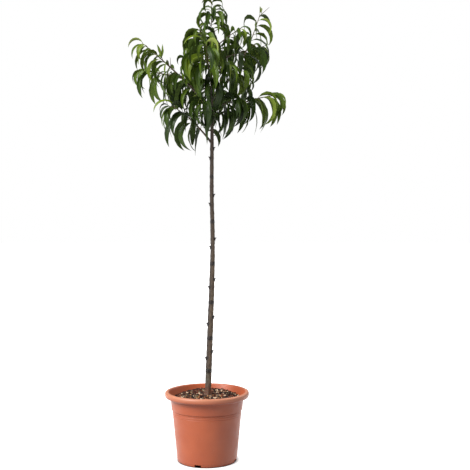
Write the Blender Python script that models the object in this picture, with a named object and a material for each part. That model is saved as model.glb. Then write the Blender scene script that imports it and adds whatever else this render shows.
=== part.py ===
"""A young flat peach tree, trained as a standard on a bare stem, in its nursery pot.

Metres, +Z up. The origin is the middle of the pot's flat underside, and the tree is seen from -Y, with +X
to the right. The stem leans a little, carries a knob wherever a side shoot was cut off, and holds a crown
of leafy shoots that leave it in a spiral. Each shoot is one curve: its bare lower part is a bough, and the
rest is a twig with sickle-shaped hanging leaves, which is one solid of foliage.
"""

import bisect
import math
import random
from dataclasses import dataclass

import bmesh
import bpy
from mathutils import Vector
from mathutils.bvhtree import BVHTree

MM = 0.001
UP = Vector((0, 0, 1))
RIGHT = Vector((1, 0, 0))
NEARLY_UPRIGHT = 0.97
CLEARANCE = 0.3 * MM

# Edges sharper than these angles in degrees stay sharp
POT_CREASE = 35
WOOD_CREASE = 60

# Pot: radii and heights of its turned wall
POT_SIDES = 28
POT_BASE_RADIUS = 99 * MM
POT_BASE_ROUND = 3 * MM
POT_BAND_HEIGHT = 168 * MM
POT_BAND_RADIUS = 115.5 * MM
POT_BAND_STEP = 2.6 * MM
POT_COLLAR_HEIGHT = 203.5 * MM
POT_COLLAR_RADIUS = 121 * MM
POT_RIM_NECK_RADIUS = 122.5 * MM
POT_RIM_RADIUS = 140 * MM
POT_RIM_INNER_RADIUS = 127 * MM
POT_RIM_UNDERSIDE = 208.5 * MM
POT_HEIGHT = 227.5 * MM
POT_RIM_ROUND = 5 * MM
POT_WALL = 2.4 * MM
POT_FLOOR = 2.6 * MM

# Drainage: four channels under the floor, each under a raised hump and open at the pot's edge
CHANNELS = 4
CHANNEL_BEARING = -15.8
CHANNEL_WIDTH = 22 * MM
CHANNEL_HEIGHT = 8 * MM
CHANNEL_INNER_END = 38 * MM
HUMP_WALL = 2.5 * MM
HUMP_OUTER_END = 98 * MM
DRAIN_RADIUS = 8 * MM
DRAIN_SIDES = 8
DRAIN_DISTANCE = 62 * MM

# Potting mix
SOIL_EDGE_HEIGHT = 203 * MM
SOIL_MIDDLE_HEIGHT = 213 * MM
SOIL_BACK_RISE = 12 * MM
SOIL_FLAT_RADIUS = 24 * MM
SOIL_RINGS = 4
SOIL_OUTER_RING = 96 * MM
SOIL_ROUGHNESS = 1.4 * MM
SOIL_SEED = 5

# Stem: its line as height, sideways place and depth, and its radius at some heights
STEM_FOOT = SOIL_MIDDLE_HEIGHT + CLEARANCE
STEM_TOP = 1375 * MM
STEM_SIDES = 8
STEM_LINE = (
    (STEM_FOOT, 3 * MM, 0 * MM),
    (450 * MM, 11 * MM, 2 * MM),
    (700 * MM, 18.5 * MM, 0 * MM),
    (900 * MM, 15.5 * MM, -2 * MM),
    (1100 * MM, 16.5 * MM, 0 * MM),
    (1250 * MM, 14.5 * MM, 3 * MM),
    (STEM_TOP, 11 * MM, 2 * MM),
)
STEM_RADII = (
    (STEM_FOOT, 14.5 * MM),
    (221 * MM, 12.4 * MM),
    (233 * MM, 10.6 * MM),
    (261 * MM, 10.2 * MM),
    (430 * MM, 9.7 * MM),
    (590 * MM, 8.9 * MM),
    (720 * MM, 7.4 * MM),
    (850 * MM, 6.7 * MM),
    (1050 * MM, 6.2 * MM),
    (1250 * MM, 4.0 * MM),
    (STEM_TOP, 2.5 * MM),
)
ROOT_FLARES = 5
ROOT_FLARE_DEPTH = 1.5 * MM
ROOT_FLARE_HEIGHT = 30 * MM

# Knobs: they wind up the stem two turns in five, a little farther apart higher up
KNOBS = 29
KNOB_TURN = 144.0
FIRST_KNOB = 295.7 * MM
KNOB_SPACING = 20.7 * MM
KNOB_SPACING_GROWTH = 0.205 * MM
KNOB_BULGE = 2.6 * MM
SMALL_KNOB_BULGE = 1.5 * MM
SMALL_KNOBS = (1, 4)
KNOBS_A_ROUND = 5
KNOB_HALF_HEIGHT = 6.5 * MM
KNOB_HALF_ANGLE = 34.0
NODE_SWELLING = 0.5 * MM
LEAST_RING_SPACING = 3 * MM
PLAIN_STEM_STEPS = 40

# Boughs and twigs
COLLAR_REACH = 3 * MM
COLLAR_SWELLING = 1.25
BOUGH_SIDES = 5
FOOT_SHARE = 0.01
BOUGH_STEPS = 4
TWIG_SIDES = 3
TWIG_STEPS = 5
TWIG_TIP_RADIUS = 0.9 * MM
LEADER_FOOT_RADIUS = 2.4 * MM
SPUR_RADIUS = 1.3 * MM
SPUR_TIP_RADIUS = 0.7 * MM

# Leaves: how they grow along a twig, with angles in degrees and places as shares of the twig or the leaf
LEAF_TURN = 144.0
TURN_SCATTER = 14.0
FIRST_LEAF_SHARE = 0.04
LAST_LEAF_SHARE = 0.985
SPREAD_AT_BASE = 60.0
SPREAD_AT_TIP = 32.0
SPREAD_SCATTER = 8.0
UPWARD_BIAS = -0.1
HANGING_ANGLES = (204.0, 268.0)
YOUNG_BEND = (100.0, 150.0)
YOUNG_FROM = 0.86
SWING = 30.0
ROLLS = (25.0, 80.0)
LEAF_SLENDERNESS = 0.17
LENGTH_SCATTER = (0.86, 1.06)
WIDTH_SCATTER = (0.82, 1.15)
YOUNG_NARROWING = 0.3
SHORTER_AT_BASE = 0.3
SHORTER_AT_TIP = 0.38
TOWARD_TIP = 0.74
BEND_EASE = 1.15
LEAF_STEPS = 24
LEAF_SECTIONS = (0, 5, 11, 17)
OUTER_PART_FROM = 5
STALK_SHARE = 0.07
STALK_HALF_WIDTH = 1.0 * MM
BLADE_RISE = 0.85
BLADE_FALL = 1.15
ERECT_ANGLES = ((-10.0, -2.0), (8.0, 22.0))
ERECT_LENGTH = 50 * MM
ERECT_WIDTH = 14 * MM
ERECT_ROLL = 35.0
LEAF_THICKNESS = 0.014
LEAST_THICKNESS = 1.1 * MM

# Room that a new leaf needs, and the heights that the crown keeps to
CLEAR_WIDTH = 1.2
CLEAR_THICKNESS = 1.8 * MM
TRIES = 7
NUDGE = 23.0
CROWN_BOTTOM = 1010 * MM
CROWN_TOP = 1528 * MM


def blend(a, b, share):
    return a + (b - a) * share


def direction_at(bearing):
    """The level direction of a bearing in degrees: 0 is to the front and 90 to the right."""
    angle = math.radians(bearing)
    return Vector((math.sin(angle), -math.cos(angle), 0))


def bearing_of(direction):
    return math.degrees(math.atan2(direction.x, -direction.y))


def read_stations(stations, height):
    """Straight interpolation in rows of a height and one value."""
    heights = [row[0] for row in stations]
    at = min(max(bisect.bisect_right(heights, height), 1), len(stations) - 1)
    low, high = stations[at - 1], stations[at]
    share = min(max((height - low[0]) / (high[0] - low[0]), 0), 1)
    return blend(low[1], high[1], share)


def stem_radius(height):
    return read_stations(STEM_RADII, height)


def stem_point(height):
    """The stem's middle at a height: a Catmull-Rom curve through the stations of its line."""
    rows = [Vector(row) for row in STEM_LINE]
    heights = [row[0] for row in STEM_LINE]
    at = min(max(bisect.bisect_right(heights, height) - 1, 0), len(rows) - 2)
    before, low, high, after = (rows[min(max(at + k, 0), len(rows) - 1)] for k in (-1, 0, 1, 2))
    t = (height - low[0]) / (high[0] - low[0])
    place = 0.5 * (
        2 * low
        + (high - before) * t
        + (2 * before - 5 * low + 4 * high - after) * t * t
        + (3 * low - before - 3 * high + after) * t * t * t
    )
    return Vector((place[1], place[2], height))


@dataclass
class Shoot:
    """A shoot of the crown. Sizes are in millimetres.

    It leaves the stem at a height and runs to its tip, arched above the straight line and swerving to one
    side. The bare share of it is a bough, and leaves grow on the rest. A spur is a leafless stub, given as
    its place on the shoot and its end from there. An erect place, a share of the leafy part, holds two
    upright leaves."""

    name: str
    height: float
    tip: tuple
    arch: float
    bare: float
    radius: float
    leaves: int
    leaf_length: float
    seed: int
    swerve: tuple = (0, 0, 0)
    spurs: tuple = ()
    erect: tuple = ()

    def foot(self):
        return stem_point(self.height * MM)

    def place(self, t):
        """A point of the shoot's quadratic curve, from 0 in the stem's middle to 1 at the tip."""
        start = self.foot()
        tip = Vector(self.tip) * MM
        middle = (start + tip) / 2 + UP * self.arch * MM + Vector(self.swerve) * MM
        return start * (1 - t) ** 2 + middle * 2 * t * (1 - t) + tip * t * t

    def after(self, t, distance):
        """The curve's parameter a short distance past t."""
        step = 0.001
        speed = (self.place(t + step) - self.place(t)).length / step
        return t + distance / speed

    def collar_end(self):
        """Where the shoot has cleared the stem's bark."""
        away = (self.place(FOOT_SHARE) - self.place(0)).normalized()
        level = math.hypot(away.x, away.y)
        reach = (stem_radius(self.height * MM) + COLLAR_REACH + self.radius * MM * abs(away.z)) / level
        return self.after(0, reach)

    def stretch(self, begin, end, steps):
        return [self.place(blend(begin, end, k / steps)) for k in range(steps + 1)]

    def radius_at(self, t):
        return blend(self.radius * MM, TWIG_TIP_RADIUS, t)

    def bough_line(self):
        return self.stretch(self.after(self.collar_end(), CLEARANCE), self.bare, BOUGH_STEPS)

    def twig_line(self):
        return self.stretch(self.after(self.bare, CLEARANCE), 1.0, TWIG_STEPS)


SHOOTS = (
    Shoot("low_left", 1052, (-114, 4, 1176), 24, 0.14, 3.6, 17, 148, 745),
    Shoot("low_front", 1102, (-14, -112, 1174), 34, 0.20, 3.2, 14, 128, 953),
    Shoot("right_arm", 1134, (226, -30, 1206), 30, 0.36, 4.2, 17, 142, 134),
    Shoot("low_right", 1146, (92, -70, 1180), 28, 0.22, 3.2, 17, 146, 259),
    Shoot(
        "left_arm", 1168, (-213, -38, 1378), 16, 0.16, 4.6, 23, 126, 61,
        spurs=((0.59, (-2, 0, 34)),), erect=(0.68,),
    ),
    Shoot("low_back", 1184, (24, 165, 1248), 34, 0.30, 3.6, 13, 130, 471),
    Shoot(
        "upper_right", 1202, (176, 0, 1482), -54, 0.34, 4.2, 20, 146, 150, (22, 0, 0),
        spurs=((0.985, (33, 0, 30)),),
    ),
    Shoot("middle_front", 1213, (18, -98, 1232), 34, 0.28, 3.0, 15, 138, 247),
    Shoot("low_back_left", 1224, (-106, 128, 1262), 26, 0.28, 3.4, 12, 130, 761),
    Shoot("left_low_arm", 1238, (-218, 66, 1308), 14, 0.46, 4.0, 13, 140, 80),
    Shoot("front_right", 1254, (80, -124, 1286), 28, 0.26, 3.2, 13, 126, 677),
    Shoot("front_middle", 1270, (0, -140, 1356), -44, 0.30, 3.2, 19, 138, 453),
    Shoot("low_back_right", 1287, (128, 122, 1262), 36, 0.28, 3.2, 12, 126, 22),
    Shoot("front_left", 1303, (-46, -116, 1318), 28, 0.24, 2.8, 14, 124, 316),
    Shoot(
        "middle_right", 1315, (182, 66, 1388), 16, 0.30, 3.0, 13, 128, 105,
        spurs=((0.96, (34, 0, 12)),),
    ),
    Shoot("upper_left", 1329, (-24, -46, 1420), 14, 0.22, 2.8, 15, 122, 386),
    Shoot("upper_back_right", 1343, (60, 132, 1400), 18, 0.24, 2.6, 13, 120, 26),
    Shoot("upper_front_right", 1356, (112, -52, 1420), 14, 0.28, 2.4, 11, 98, 158),
    Shoot("upper_back_left", 1366, (-50, 116, 1420), 18, 0.24, 2.4, 12, 116, 79),
)
LEADER = Shoot(
    "leader", STEM_TOP / MM, (21, 0, 1508), 0, 0.0, LEADER_FOOT_RADIUS / MM, 25, 124, 379, (-6, 2, 0),
)


def knob_height(index):
    return FIRST_KNOB + KNOB_SPACING * index + KNOB_SPACING_GROWTH * index * index


def bulge_at(height, bearing):
    """How far the bark stands out at a place: a knob for each side shoot cut off, and a swelling round it."""
    found = 0.0
    for index in range(KNOBS):
        rise = abs(height - knob_height(index)) / KNOB_HALF_HEIGHT
        if rise >= 1:
            continue
        turn = (bearing - KNOB_TURN * index + 180) % 360 - 180
        size = SMALL_KNOB_BULGE if index % KNOBS_A_ROUND in SMALL_KNOBS else KNOB_BULGE
        knob = size * math.exp(-((turn / KNOB_HALF_ANGLE) ** 2))
        found = max(found, (1 - rise * rise) * (knob + NODE_SWELLING))
    return found


def flare_at(height, bearing):
    """The stem's foot spreads in a few soft ridges, which die out upward."""
    fade = max(0.0, 1 - (height - STEM_FOOT) / ROOT_FLARE_HEIGHT)
    return ROOT_FLARE_DEPTH * fade * math.cos(math.radians(ROOT_FLARES * bearing))


@dataclass
class Leaf:
    """A hanging leaf. It leaves the twig at an angle from the upright, turns down past the plumb line, and
    swings sideways as it goes. The roll turns its face about its own midrib."""

    root: Vector
    bearing: float
    start_angle: float
    end_angle: float
    swing: float
    length: float
    width: float
    roll: float

    def spine(self):
        """Points down the midrib and the direction at each."""
        step = self.length / LEAF_STEPS
        point = self.root.copy()
        places = []
        for index in range(LEAF_STEPS + 1):
            share = index / LEAF_STEPS
            bent = 1 - (1 - share) ** BEND_EASE
            angle = math.radians(blend(self.start_angle, self.end_angle, bent))
            level = direction_at(self.bearing + self.swing * share)
            ahead = level * math.sin(angle) + UP * math.cos(angle)
            places.append((point.copy(), ahead))
            point = point + ahead * step
        return places

    def half_width(self, share):
        """Half the width of a lance-shaped blade at a share of its length, with a short stalk."""
        if share <= STALK_SHARE:
            return STALK_HALF_WIDTH
        t = (share - STALK_SHARE) / (1 - STALK_SHARE)
        widest = BLADE_RISE / (BLADE_RISE + BLADE_FALL)
        blade = self.width / 2 * (t / widest) ** BLADE_RISE * ((1 - t) / (1 - widest)) ** BLADE_FALL
        return max(STALK_HALF_WIDTH * (1 - t), blade)

    def facing(self, ahead, share):
        """The direction across the blade and the one below it, after its roll."""
        level = direction_at(self.bearing + self.swing * share + 90)
        aside = (level - ahead * level.dot(ahead)).normalized()
        normal = ahead.cross(aside)
        across = aside * math.cos(self.roll) + normal * math.sin(self.roll)
        return across, across.cross(ahead)

    def solid(self, first=0, widen=1.0, thicken=0.0):
        """The closed solid from a section onward: two edges and a keel, drawn to a point at the tip."""
        places = self.spine()
        sections = [index for index in LEAF_SECTIONS if index >= first]
        depth = max(LEAST_THICKNESS, LEAF_THICKNESS * self.length) + thicken / 2
        vertices = []
        for index in sections:
            share = index / LEAF_STEPS
            middle, ahead = places[index]
            across, below = self.facing(ahead, share)
            half = self.half_width(share) * widen
            upper = middle - below * (thicken / 2)
            vertices += [upper - across * half, middle + below * depth, upper + across * half]
        vertices.append(places[-1][0])
        tip = len(vertices) - 1
        faces = [(2, 1, 0)]
        for ring in range(len(sections) - 1):
            for side in range(3):
                here = ring * 3 + side
                beside = ring * 3 + (side + 1) % 3
                faces.append((here, beside, beside + 3, here + 3))
        last = (len(sections) - 1) * 3
        faces += [(last + side, last + (side + 1) % 3, tip) for side in range(3)]
        return vertices, faces


def size_along(share):
    """How long a leaf is beside the twig's longest, by its place on the twig: shorter at both ends."""
    from_base = max(0.0, 1 - share * 4)
    to_tip = max(0.0, share * 2 - 1)
    return 1 - SHORTER_AT_BASE * from_base**2 - SHORTER_AT_TIP * to_tip**1.6


def point_along(line, share):
    """The place and direction at a share of a line through points."""
    place = share * (len(line) - 1)
    at = min(int(place), len(line) - 2)
    step = line[at + 1] - line[at]
    return line[at] + step * (place - at), step.normalized()


def draw_leaf(chance, line, share, turn, longest):
    """One leaf at a place on a twig, turned about it by an angle."""
    root, ahead = point_along(line, share)
    side = (RIGHT if abs(ahead.z) > NEARLY_UPRIGHT else UP.cross(ahead)).normalized()
    side = (side - ahead * side.dot(ahead)).normalized()
    angle = math.radians(turn + chance.uniform(-TURN_SCATTER, TURN_SCATTER))
    outward = side * math.cos(angle) + ahead.cross(side) * math.sin(angle)
    spread = blend(SPREAD_AT_BASE, SPREAD_AT_TIP, share) + chance.uniform(-SPREAD_SCATTER, SPREAD_SCATTER)
    spread = math.radians(spread)
    heading = (ahead * math.cos(spread) + outward * math.sin(spread) + UP * UPWARD_BIAS).normalized()
    level = outward if abs(heading.z) > NEARLY_UPRIGHT else heading
    start_angle = math.degrees(math.acos(heading.z))
    young = max(0.0, (share - YOUNG_FROM) / (1 - YOUNG_FROM))
    end_angle = blend(chance.uniform(*HANGING_ANGLES), start_angle + chance.uniform(*YOUNG_BEND), young)
    swing = chance.uniform(-SWING, SWING)
    length = longest * size_along(share) * chance.uniform(*LENGTH_SCATTER)
    width = length * LEAF_SLENDERNESS * chance.uniform(*WIDTH_SCATTER) * (1 - YOUNG_NARROWING * young)
    roll = math.radians(chance.choice((-1, 1)) * chance.uniform(*ROLLS))
    return Leaf(root, bearing_of(level), start_angle, end_angle, swing, length, width, roll)


def box_of(vertices):
    low = [min(v[k] for v in vertices) for k in range(3)]
    high = [max(v[k] for v in vertices) for k in range(3)]
    return low, high


def tree_of(solid):
    vertices, faces = solid
    return BVHTree.FromPolygons([tuple(v) for v in vertices], faces)


class Crowd:
    """The solids placed so far, each with its owner and box, for finding what a new leaf would touch."""

    def __init__(self):
        self.members = []

    def add(self, owner, solid):
        low, high = box_of(solid[0])
        self.members.append((owner, low, high, tree_of(solid)))

    def has_room(self, owner, leaf):
        """True if the leaf clears every other owner's solids, and its outer part those of its own twig."""
        whole = leaf.solid(0, CLEAR_WIDTH, CLEAR_THICKNESS)
        outer = leaf.solid(OUTER_PART_FROM, CLEAR_WIDTH, CLEAR_THICKNESS)
        low, high = box_of(whole[0])
        whole_tree = tree_of(whole)
        outer_tree = tree_of(outer)
        for other, other_low, other_high, tree in self.members:
            if any(low[k] > other_high[k] or high[k] < other_low[k] for k in range(3)):
                continue
            if (outer_tree if other == owner else whole_tree).overlap(tree):
                return False
        return True


def erect_pair(line, share):
    """Two small upright leaves at a place on a twig, one leaning out and one nearly plumb."""
    root, ahead = point_along(line, share)
    roll = math.radians(ERECT_ROLL)
    bearing = bearing_of(ahead)
    angles = [(bearing, start, end) for start, end in ERECT_ANGLES]
    return [Leaf(root, at, start, end, 0, ERECT_LENGTH, ERECT_WIDTH, roll) for at, start, end in angles]


def grow_leaves(shoot, crowd):
    """The leaves of one shoot. A leaf that would touch something is turned a little, and at last left out."""
    chance = random.Random(shoot.seed)
    line = shoot.twig_line()
    first_turn = chance.uniform(0, 360)
    grown = []
    for index in range(shoot.leaves):
        step = (index / (shoot.leaves - 1)) ** TOWARD_TIP
        share = blend(FIRST_LEAF_SHARE, LAST_LEAF_SHARE, step)
        for attempt in range(TRIES):
            nudge = NUDGE * attempt * (1 if attempt % 2 else -1)
            turn = first_turn + LEAF_TURN * index + nudge
            leaf = draw_leaf(chance, line, share, turn, shoot.leaf_length * MM)
            heights = [place.z for place, _ in leaf.spine()]
            if min(heights) < CROWN_BOTTOM or max(heights) > CROWN_TOP:
                continue
            if crowd.has_room(shoot.name, leaf):
                crowd.add(shoot.name, leaf.solid())
                grown.append(leaf)
                break
    for share in shoot.erect:
        for leaf in erect_pair(line, share):
            if crowd.has_room(shoot.name, leaf):
                crowd.add(shoot.name, leaf.solid())
                grown.append(leaf)
    return grown


def tube(line, radii, sides):
    """A closed tube through points, its rings square to the line and carried along without twist."""
    vertices = []
    last = len(line) - 1
    tangent = (line[1] - line[0]).normalized()
    reference = RIGHT if abs(tangent.z) > NEARLY_UPRIGHT else UP
    across = (reference - tangent * reference.dot(tangent)).normalized()
    for index, point in enumerate(line):
        ahead = (line[min(index + 1, last)] - line[max(index - 1, 0)]).normalized()
        across = tangent.rotation_difference(ahead) @ across
        tangent = ahead
        upright = tangent.cross(across)
        for side in range(sides):
            angle = 2 * math.pi * side / sides
            vertices.append(point + (across * math.cos(angle) + upright * math.sin(angle)) * radii[index])
    faces = [tuple(reversed(range(sides)))]
    for ring in range(last):
        for side in range(sides):
            here = ring * sides + side
            beside = ring * sides + (side + 1) % sides
            faces.append((here, beside, beside + sides, here + sides))
    faces.append(tuple(range(last * sides, last * sides + sides)))
    return vertices, faces


def radii_between(foot, tip, count):
    return [blend(foot, tip, k / (count - 1)) for k in range(count)]


def bough_solid(shoot):
    line = shoot.bough_line()
    radii = radii_between(shoot.radius * MM, shoot.radius_at(shoot.bare), len(line))
    return tube(line, radii, BOUGH_SIDES)


def twig_solid(shoot):
    line = shoot.twig_line()
    return tube(line, radii_between(shoot.radius_at(shoot.bare), TWIG_TIP_RADIUS, len(line)), TWIG_SIDES)


def spur_solid(shoot, share, end):
    start = shoot.place(share)
    return tube([start, start + Vector(end) * MM], [SPUR_RADIUS, SPUR_TIP_RADIUS], TWIG_SIDES)


def collar_solid(shoot):
    line = shoot.stretch(0, shoot.collar_end(), 1)
    foot = shoot.radius * MM
    return tube(line, radii_between(foot * COLLAR_SWELLING, foot, len(line)), BOUGH_SIDES)


def clear_scene():
    for item in list(bpy.data.objects):
        bpy.data.objects.remove(item, do_unlink=True)


def make_material(name, colour, roughness):
    """A plain finish, with the colour given in linear light."""
    made = bpy.data.materials.new(name)
    made.use_nodes = True
    shader = made.node_tree.nodes["Principled BSDF"]
    shader.inputs["Base Color"].default_value = (*colour, 1)
    shader.inputs["Roughness"].default_value = roughness
    shader.inputs["Metallic"].default_value = 0
    return made


def make_object(name, solid, finish):
    vertices, faces = solid
    mesh = bpy.data.meshes.new(name)
    mesh.from_pydata([tuple(v) for v in vertices], [], faces)
    mesh.validate()
    mesh.materials.append(finish)
    made = bpy.data.objects.new(name, mesh)
    bpy.context.scene.collection.objects.link(made)
    return made


def smooth(item, degrees):
    item.data.shade_smooth()
    item.data.set_sharp_from_angle(angle=math.radians(degrees))


def combine(target, helpers, operation, solver="EXACT"):
    """Applies one Boolean between the target and all the helper objects, which it then removes."""
    helper_set = bpy.data.collections.new("helpers")
    bpy.context.scene.collection.children.link(helper_set)
    for helper in helpers:
        bpy.context.scene.collection.objects.unlink(helper)
        helper_set.objects.link(helper)
    modifier = target.modifiers.new(operation.title(), "BOOLEAN")
    modifier.operation = operation
    modifier.operand_type = "COLLECTION"
    modifier.collection = helper_set
    modifier.solver = solver
    bpy.context.view_layer.objects.active = target
    bpy.ops.object.modifier_apply(modifier=modifier.name)
    for helper in helpers:
        bpy.data.objects.remove(helper, do_unlink=True)
    bpy.data.collections.remove(helper_set)


def turned(profile):
    """A solid of revolution about Z. The profile runs from the axis below, up the outside, to the axis."""
    vertices = [Vector((0, 0, profile[0][1]))]
    for radius, height in profile[1:-1]:
        for side in range(POT_SIDES):
            angle = 2 * math.pi * side / POT_SIDES
            vertices.append(Vector((radius * math.cos(angle), radius * math.sin(angle), height)))
    vertices.append(Vector((0, 0, profile[-1][1])))
    top = len(vertices) - 1
    rings = len(profile) - 2
    faces = []
    for side in range(POT_SIDES):
        beside = (side + 1) % POT_SIDES
        faces.append((0, 1 + beside, 1 + side))
        for ring in range(rings - 1):
            low = 1 + ring * POT_SIDES
            high = low + POT_SIDES
            faces.append((low + side, low + beside, high + beside, high + side))
        last = 1 + (rings - 1) * POT_SIDES
        faces.append((last + side, last + beside, top))
    return vertices, faces


def box_along(bearing, inner, outer, width, bottom, top):
    """An upright box whose long side runs outward along a bearing."""
    ahead = direction_at(bearing)
    aside = Vector((-ahead.y, ahead.x, 0)) * (width / 2)
    corners = [ahead * inner - aside, ahead * outer - aside, ahead * outer + aside, ahead * inner + aside]
    vertices = [corner + UP * bottom for corner in corners] + [corner + UP * top for corner in corners]
    faces = [(3, 2, 1, 0), (4, 5, 6, 7), (0, 1, 5, 4), (1, 2, 6, 5), (2, 3, 7, 6), (3, 0, 4, 7)]
    return vertices, faces


def pot_inner_wall():
    """The pot's inside from the floor up to the rim, as radius and height."""
    return [
        (POT_BASE_RADIUS - POT_WALL - POT_BASE_ROUND, POT_FLOOR),
        (POT_BASE_RADIUS - POT_WALL, POT_FLOOR + POT_BASE_ROUND),
        (POT_BAND_RADIUS - POT_WALL, POT_BAND_HEIGHT + POT_WALL),
        (POT_BAND_RADIUS + POT_BAND_STEP - POT_WALL, POT_BAND_HEIGHT + POT_BAND_STEP + POT_WALL),
        (POT_COLLAR_RADIUS - POT_WALL, POT_COLLAR_HEIGHT),
    ]


def pot_profile():
    outside = [
        (0, 0),
        (POT_BASE_RADIUS - POT_BASE_ROUND, 0),
        (POT_BASE_RADIUS, POT_BASE_ROUND),
        (POT_BAND_RADIUS, POT_BAND_HEIGHT),
        (POT_BAND_RADIUS + POT_BAND_STEP, POT_BAND_HEIGHT + POT_BAND_STEP),
        (POT_COLLAR_RADIUS, POT_COLLAR_HEIGHT),
        (POT_RIM_NECK_RADIUS, POT_RIM_UNDERSIDE),
    ]
    rim = [
        (POT_RIM_RADIUS - POT_RIM_ROUND, POT_RIM_UNDERSIDE),
        (POT_RIM_RADIUS, POT_RIM_UNDERSIDE + POT_RIM_ROUND),
        (POT_RIM_RADIUS, POT_HEIGHT - POT_RIM_ROUND),
        (POT_RIM_RADIUS - POT_RIM_ROUND, POT_HEIGHT),
        (POT_RIM_INNER_RADIUS + POT_RIM_ROUND / 2, POT_HEIGHT),
        (POT_RIM_INNER_RADIUS, POT_HEIGHT - POT_RIM_ROUND / 2),
        (POT_RIM_INNER_RADIUS - 2 * POT_WALL, POT_RIM_UNDERSIDE + 2 * POT_WALL),
    ]
    return outside + rim + list(reversed(pot_inner_wall())) + [(0, POT_FLOOR)]


def make_pot(finish):
    pot = make_object("pot", turned(pot_profile()), finish)
    bearings = [CHANNEL_BEARING + 360 / CHANNELS * k for k in range(CHANNELS)]
    hump_start = CHANNEL_INNER_END - HUMP_WALL
    hump_width = CHANNEL_WIDTH + 2 * HUMP_WALL
    hump_top = CHANNEL_HEIGHT + HUMP_WALL
    past_edge = POT_BASE_RADIUS + POT_BASE_ROUND
    humps = []
    cuts = []
    for bearing in bearings:
        hump = box_along(bearing, hump_start, HUMP_OUTER_END, hump_width, POT_FLOOR / 2, hump_top)
        channel = box_along(bearing, CHANNEL_INNER_END, past_edge, CHANNEL_WIDTH, -POT_FLOOR, CHANNEL_HEIGHT)
        middle = direction_at(bearing) * DRAIN_DISTANCE
        drain_ends = [middle + UP * (CHANNEL_HEIGHT / 2), middle + UP * (hump_top + HUMP_WALL)]
        humps.append(make_object("hump", hump, finish))
        cuts.append(make_object("channel", channel, finish))
        cuts.append(make_object("drain", tube(drain_ends, [DRAIN_RADIUS] * 2, DRAIN_SIDES), finish))
    combine(pot, humps, "UNION")
    for cut in cuts:
        combine(pot, [cut], "DIFFERENCE")
    smooth(pot, POT_CREASE)


def soil_rise(y):
    """How much higher the mix lies toward the back of the pot, beyond the level part round the stem."""
    share = (y - SOIL_FLAT_RADIUS) / (POT_COLLAR_RADIUS - SOIL_FLAT_RADIUS)
    return SOIL_BACK_RISE * min(max(share, 0), 1) ** 2


def make_soil(finish):
    """The potting mix: it fills the pot above the humps, and is a low mound, level where the stem stands."""
    chance = random.Random(SOIL_SEED)
    wall = [(radius - CLEARANCE, height) for radius, height in pot_inner_wall()]
    wall_by_height = [(height, radius) for radius, height in wall]
    bottom = CHANNEL_HEIGHT + HUMP_WALL + CLEARANCE
    edge_radius = read_stations(wall_by_height, SOIL_EDGE_HEIGHT)
    profile = [(0, bottom), (read_stations(wall_by_height, bottom), bottom)]
    profile += [(radius, height) for radius, height in wall if bottom < height < SOIL_EDGE_HEIGHT]
    profile.append((edge_radius, SOIL_EDGE_HEIGHT))
    first_inner = 1 + (len(profile) - 1) * POT_SIDES
    for ring in range(SOIL_RINGS):
        radius = blend(SOIL_OUTER_RING, SOIL_FLAT_RADIUS, ring / (SOIL_RINGS - 1))
        share = (radius - SOIL_FLAT_RADIUS) / (edge_radius - SOIL_FLAT_RADIUS)
        profile.append((radius, blend(SOIL_MIDDLE_HEIGHT, SOIL_EDGE_HEIGHT, share)))
    profile.append((0, SOIL_MIDDLE_HEIGHT))
    soil = make_object("soil", turned(profile), finish)
    level_from = first_inner + (SOIL_RINGS - 1) * POT_SIDES
    for vertex in soil.data.vertices[first_inner:level_from]:
        vertex.co.z += chance.uniform(-SOIL_ROUGHNESS, SOIL_ROUGHNESS)
    for vertex in soil.data.vertices[first_inner - POT_SIDES : level_from]:
        vertex.co.z += soil_rise(vertex.co.y)
    smooth(soil, WOOD_CREASE)


def stem_heights():
    """The heights of the stem's rings: its stations, and three at each knob."""
    heights = {row[0] for row in STEM_RADII} | {row[0] for row in STEM_LINE}
    for index in range(KNOBS):
        middle = knob_height(index)
        heights |= {middle - KNOB_HALF_HEIGHT, middle, middle + KNOB_HALF_HEIGHT}
    kept = [min(heights)]
    for height in sorted(heights):
        if height - kept[-1] > LEAST_RING_SPACING:
            kept.append(height)
    return kept


def stem_solid():
    vertices = []
    heights = stem_heights()
    for height in heights:
        for side in range(STEM_SIDES):
            bearing = 360 * side / STEM_SIDES
            radius = stem_radius(height) + bulge_at(height, bearing) + flare_at(height, bearing)
            vertices.append(stem_point(height) + direction_at(bearing) * radius)
    top = (len(heights) - 1) * STEM_SIDES
    faces = [tuple(reversed(range(STEM_SIDES))), tuple(range(top, top + STEM_SIDES))]
    for low in range(0, top, STEM_SIDES):
        for side in range(STEM_SIDES):
            beside = (side + 1) % STEM_SIDES
            faces.append((low + side, low + beside, low + beside + STEM_SIDES, low + side + STEM_SIDES))
    return vertices, faces


def make_trunk(finish):
    trunk = make_object("trunk", stem_solid(), finish)
    collars = [make_object("collar", collar_solid(shoot), finish) for shoot in SHOOTS]
    combine(trunk, collars, "UNION")
    smooth(trunk, WOOD_CREASE)


def keep_outer_skin(item):
    """Drops every shell but the largest, which fills a hollow sealed by leaves that cross at their roots."""
    shape = bmesh.new()
    shape.from_mesh(item.data)
    shape.verts.ensure_lookup_table()
    waiting = set(shape.verts)
    shells = []
    while waiting:
        shell = {waiting.pop()}
        edge = list(shell)
        while edge:
            vertex = edge.pop()
            beside = {link.other_vert(vertex) for link in vertex.link_edges} & waiting
            waiting -= beside
            shell |= beside
            edge += beside
        shells.append(shell)
    largest = max(shells, key=len)
    dropped = [vertex for vertex in shape.verts if vertex not in largest]
    bmesh.ops.delete(shape, geom=dropped, context="VERTS")
    shape.to_mesh(item.data)
    shape.free()


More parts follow.
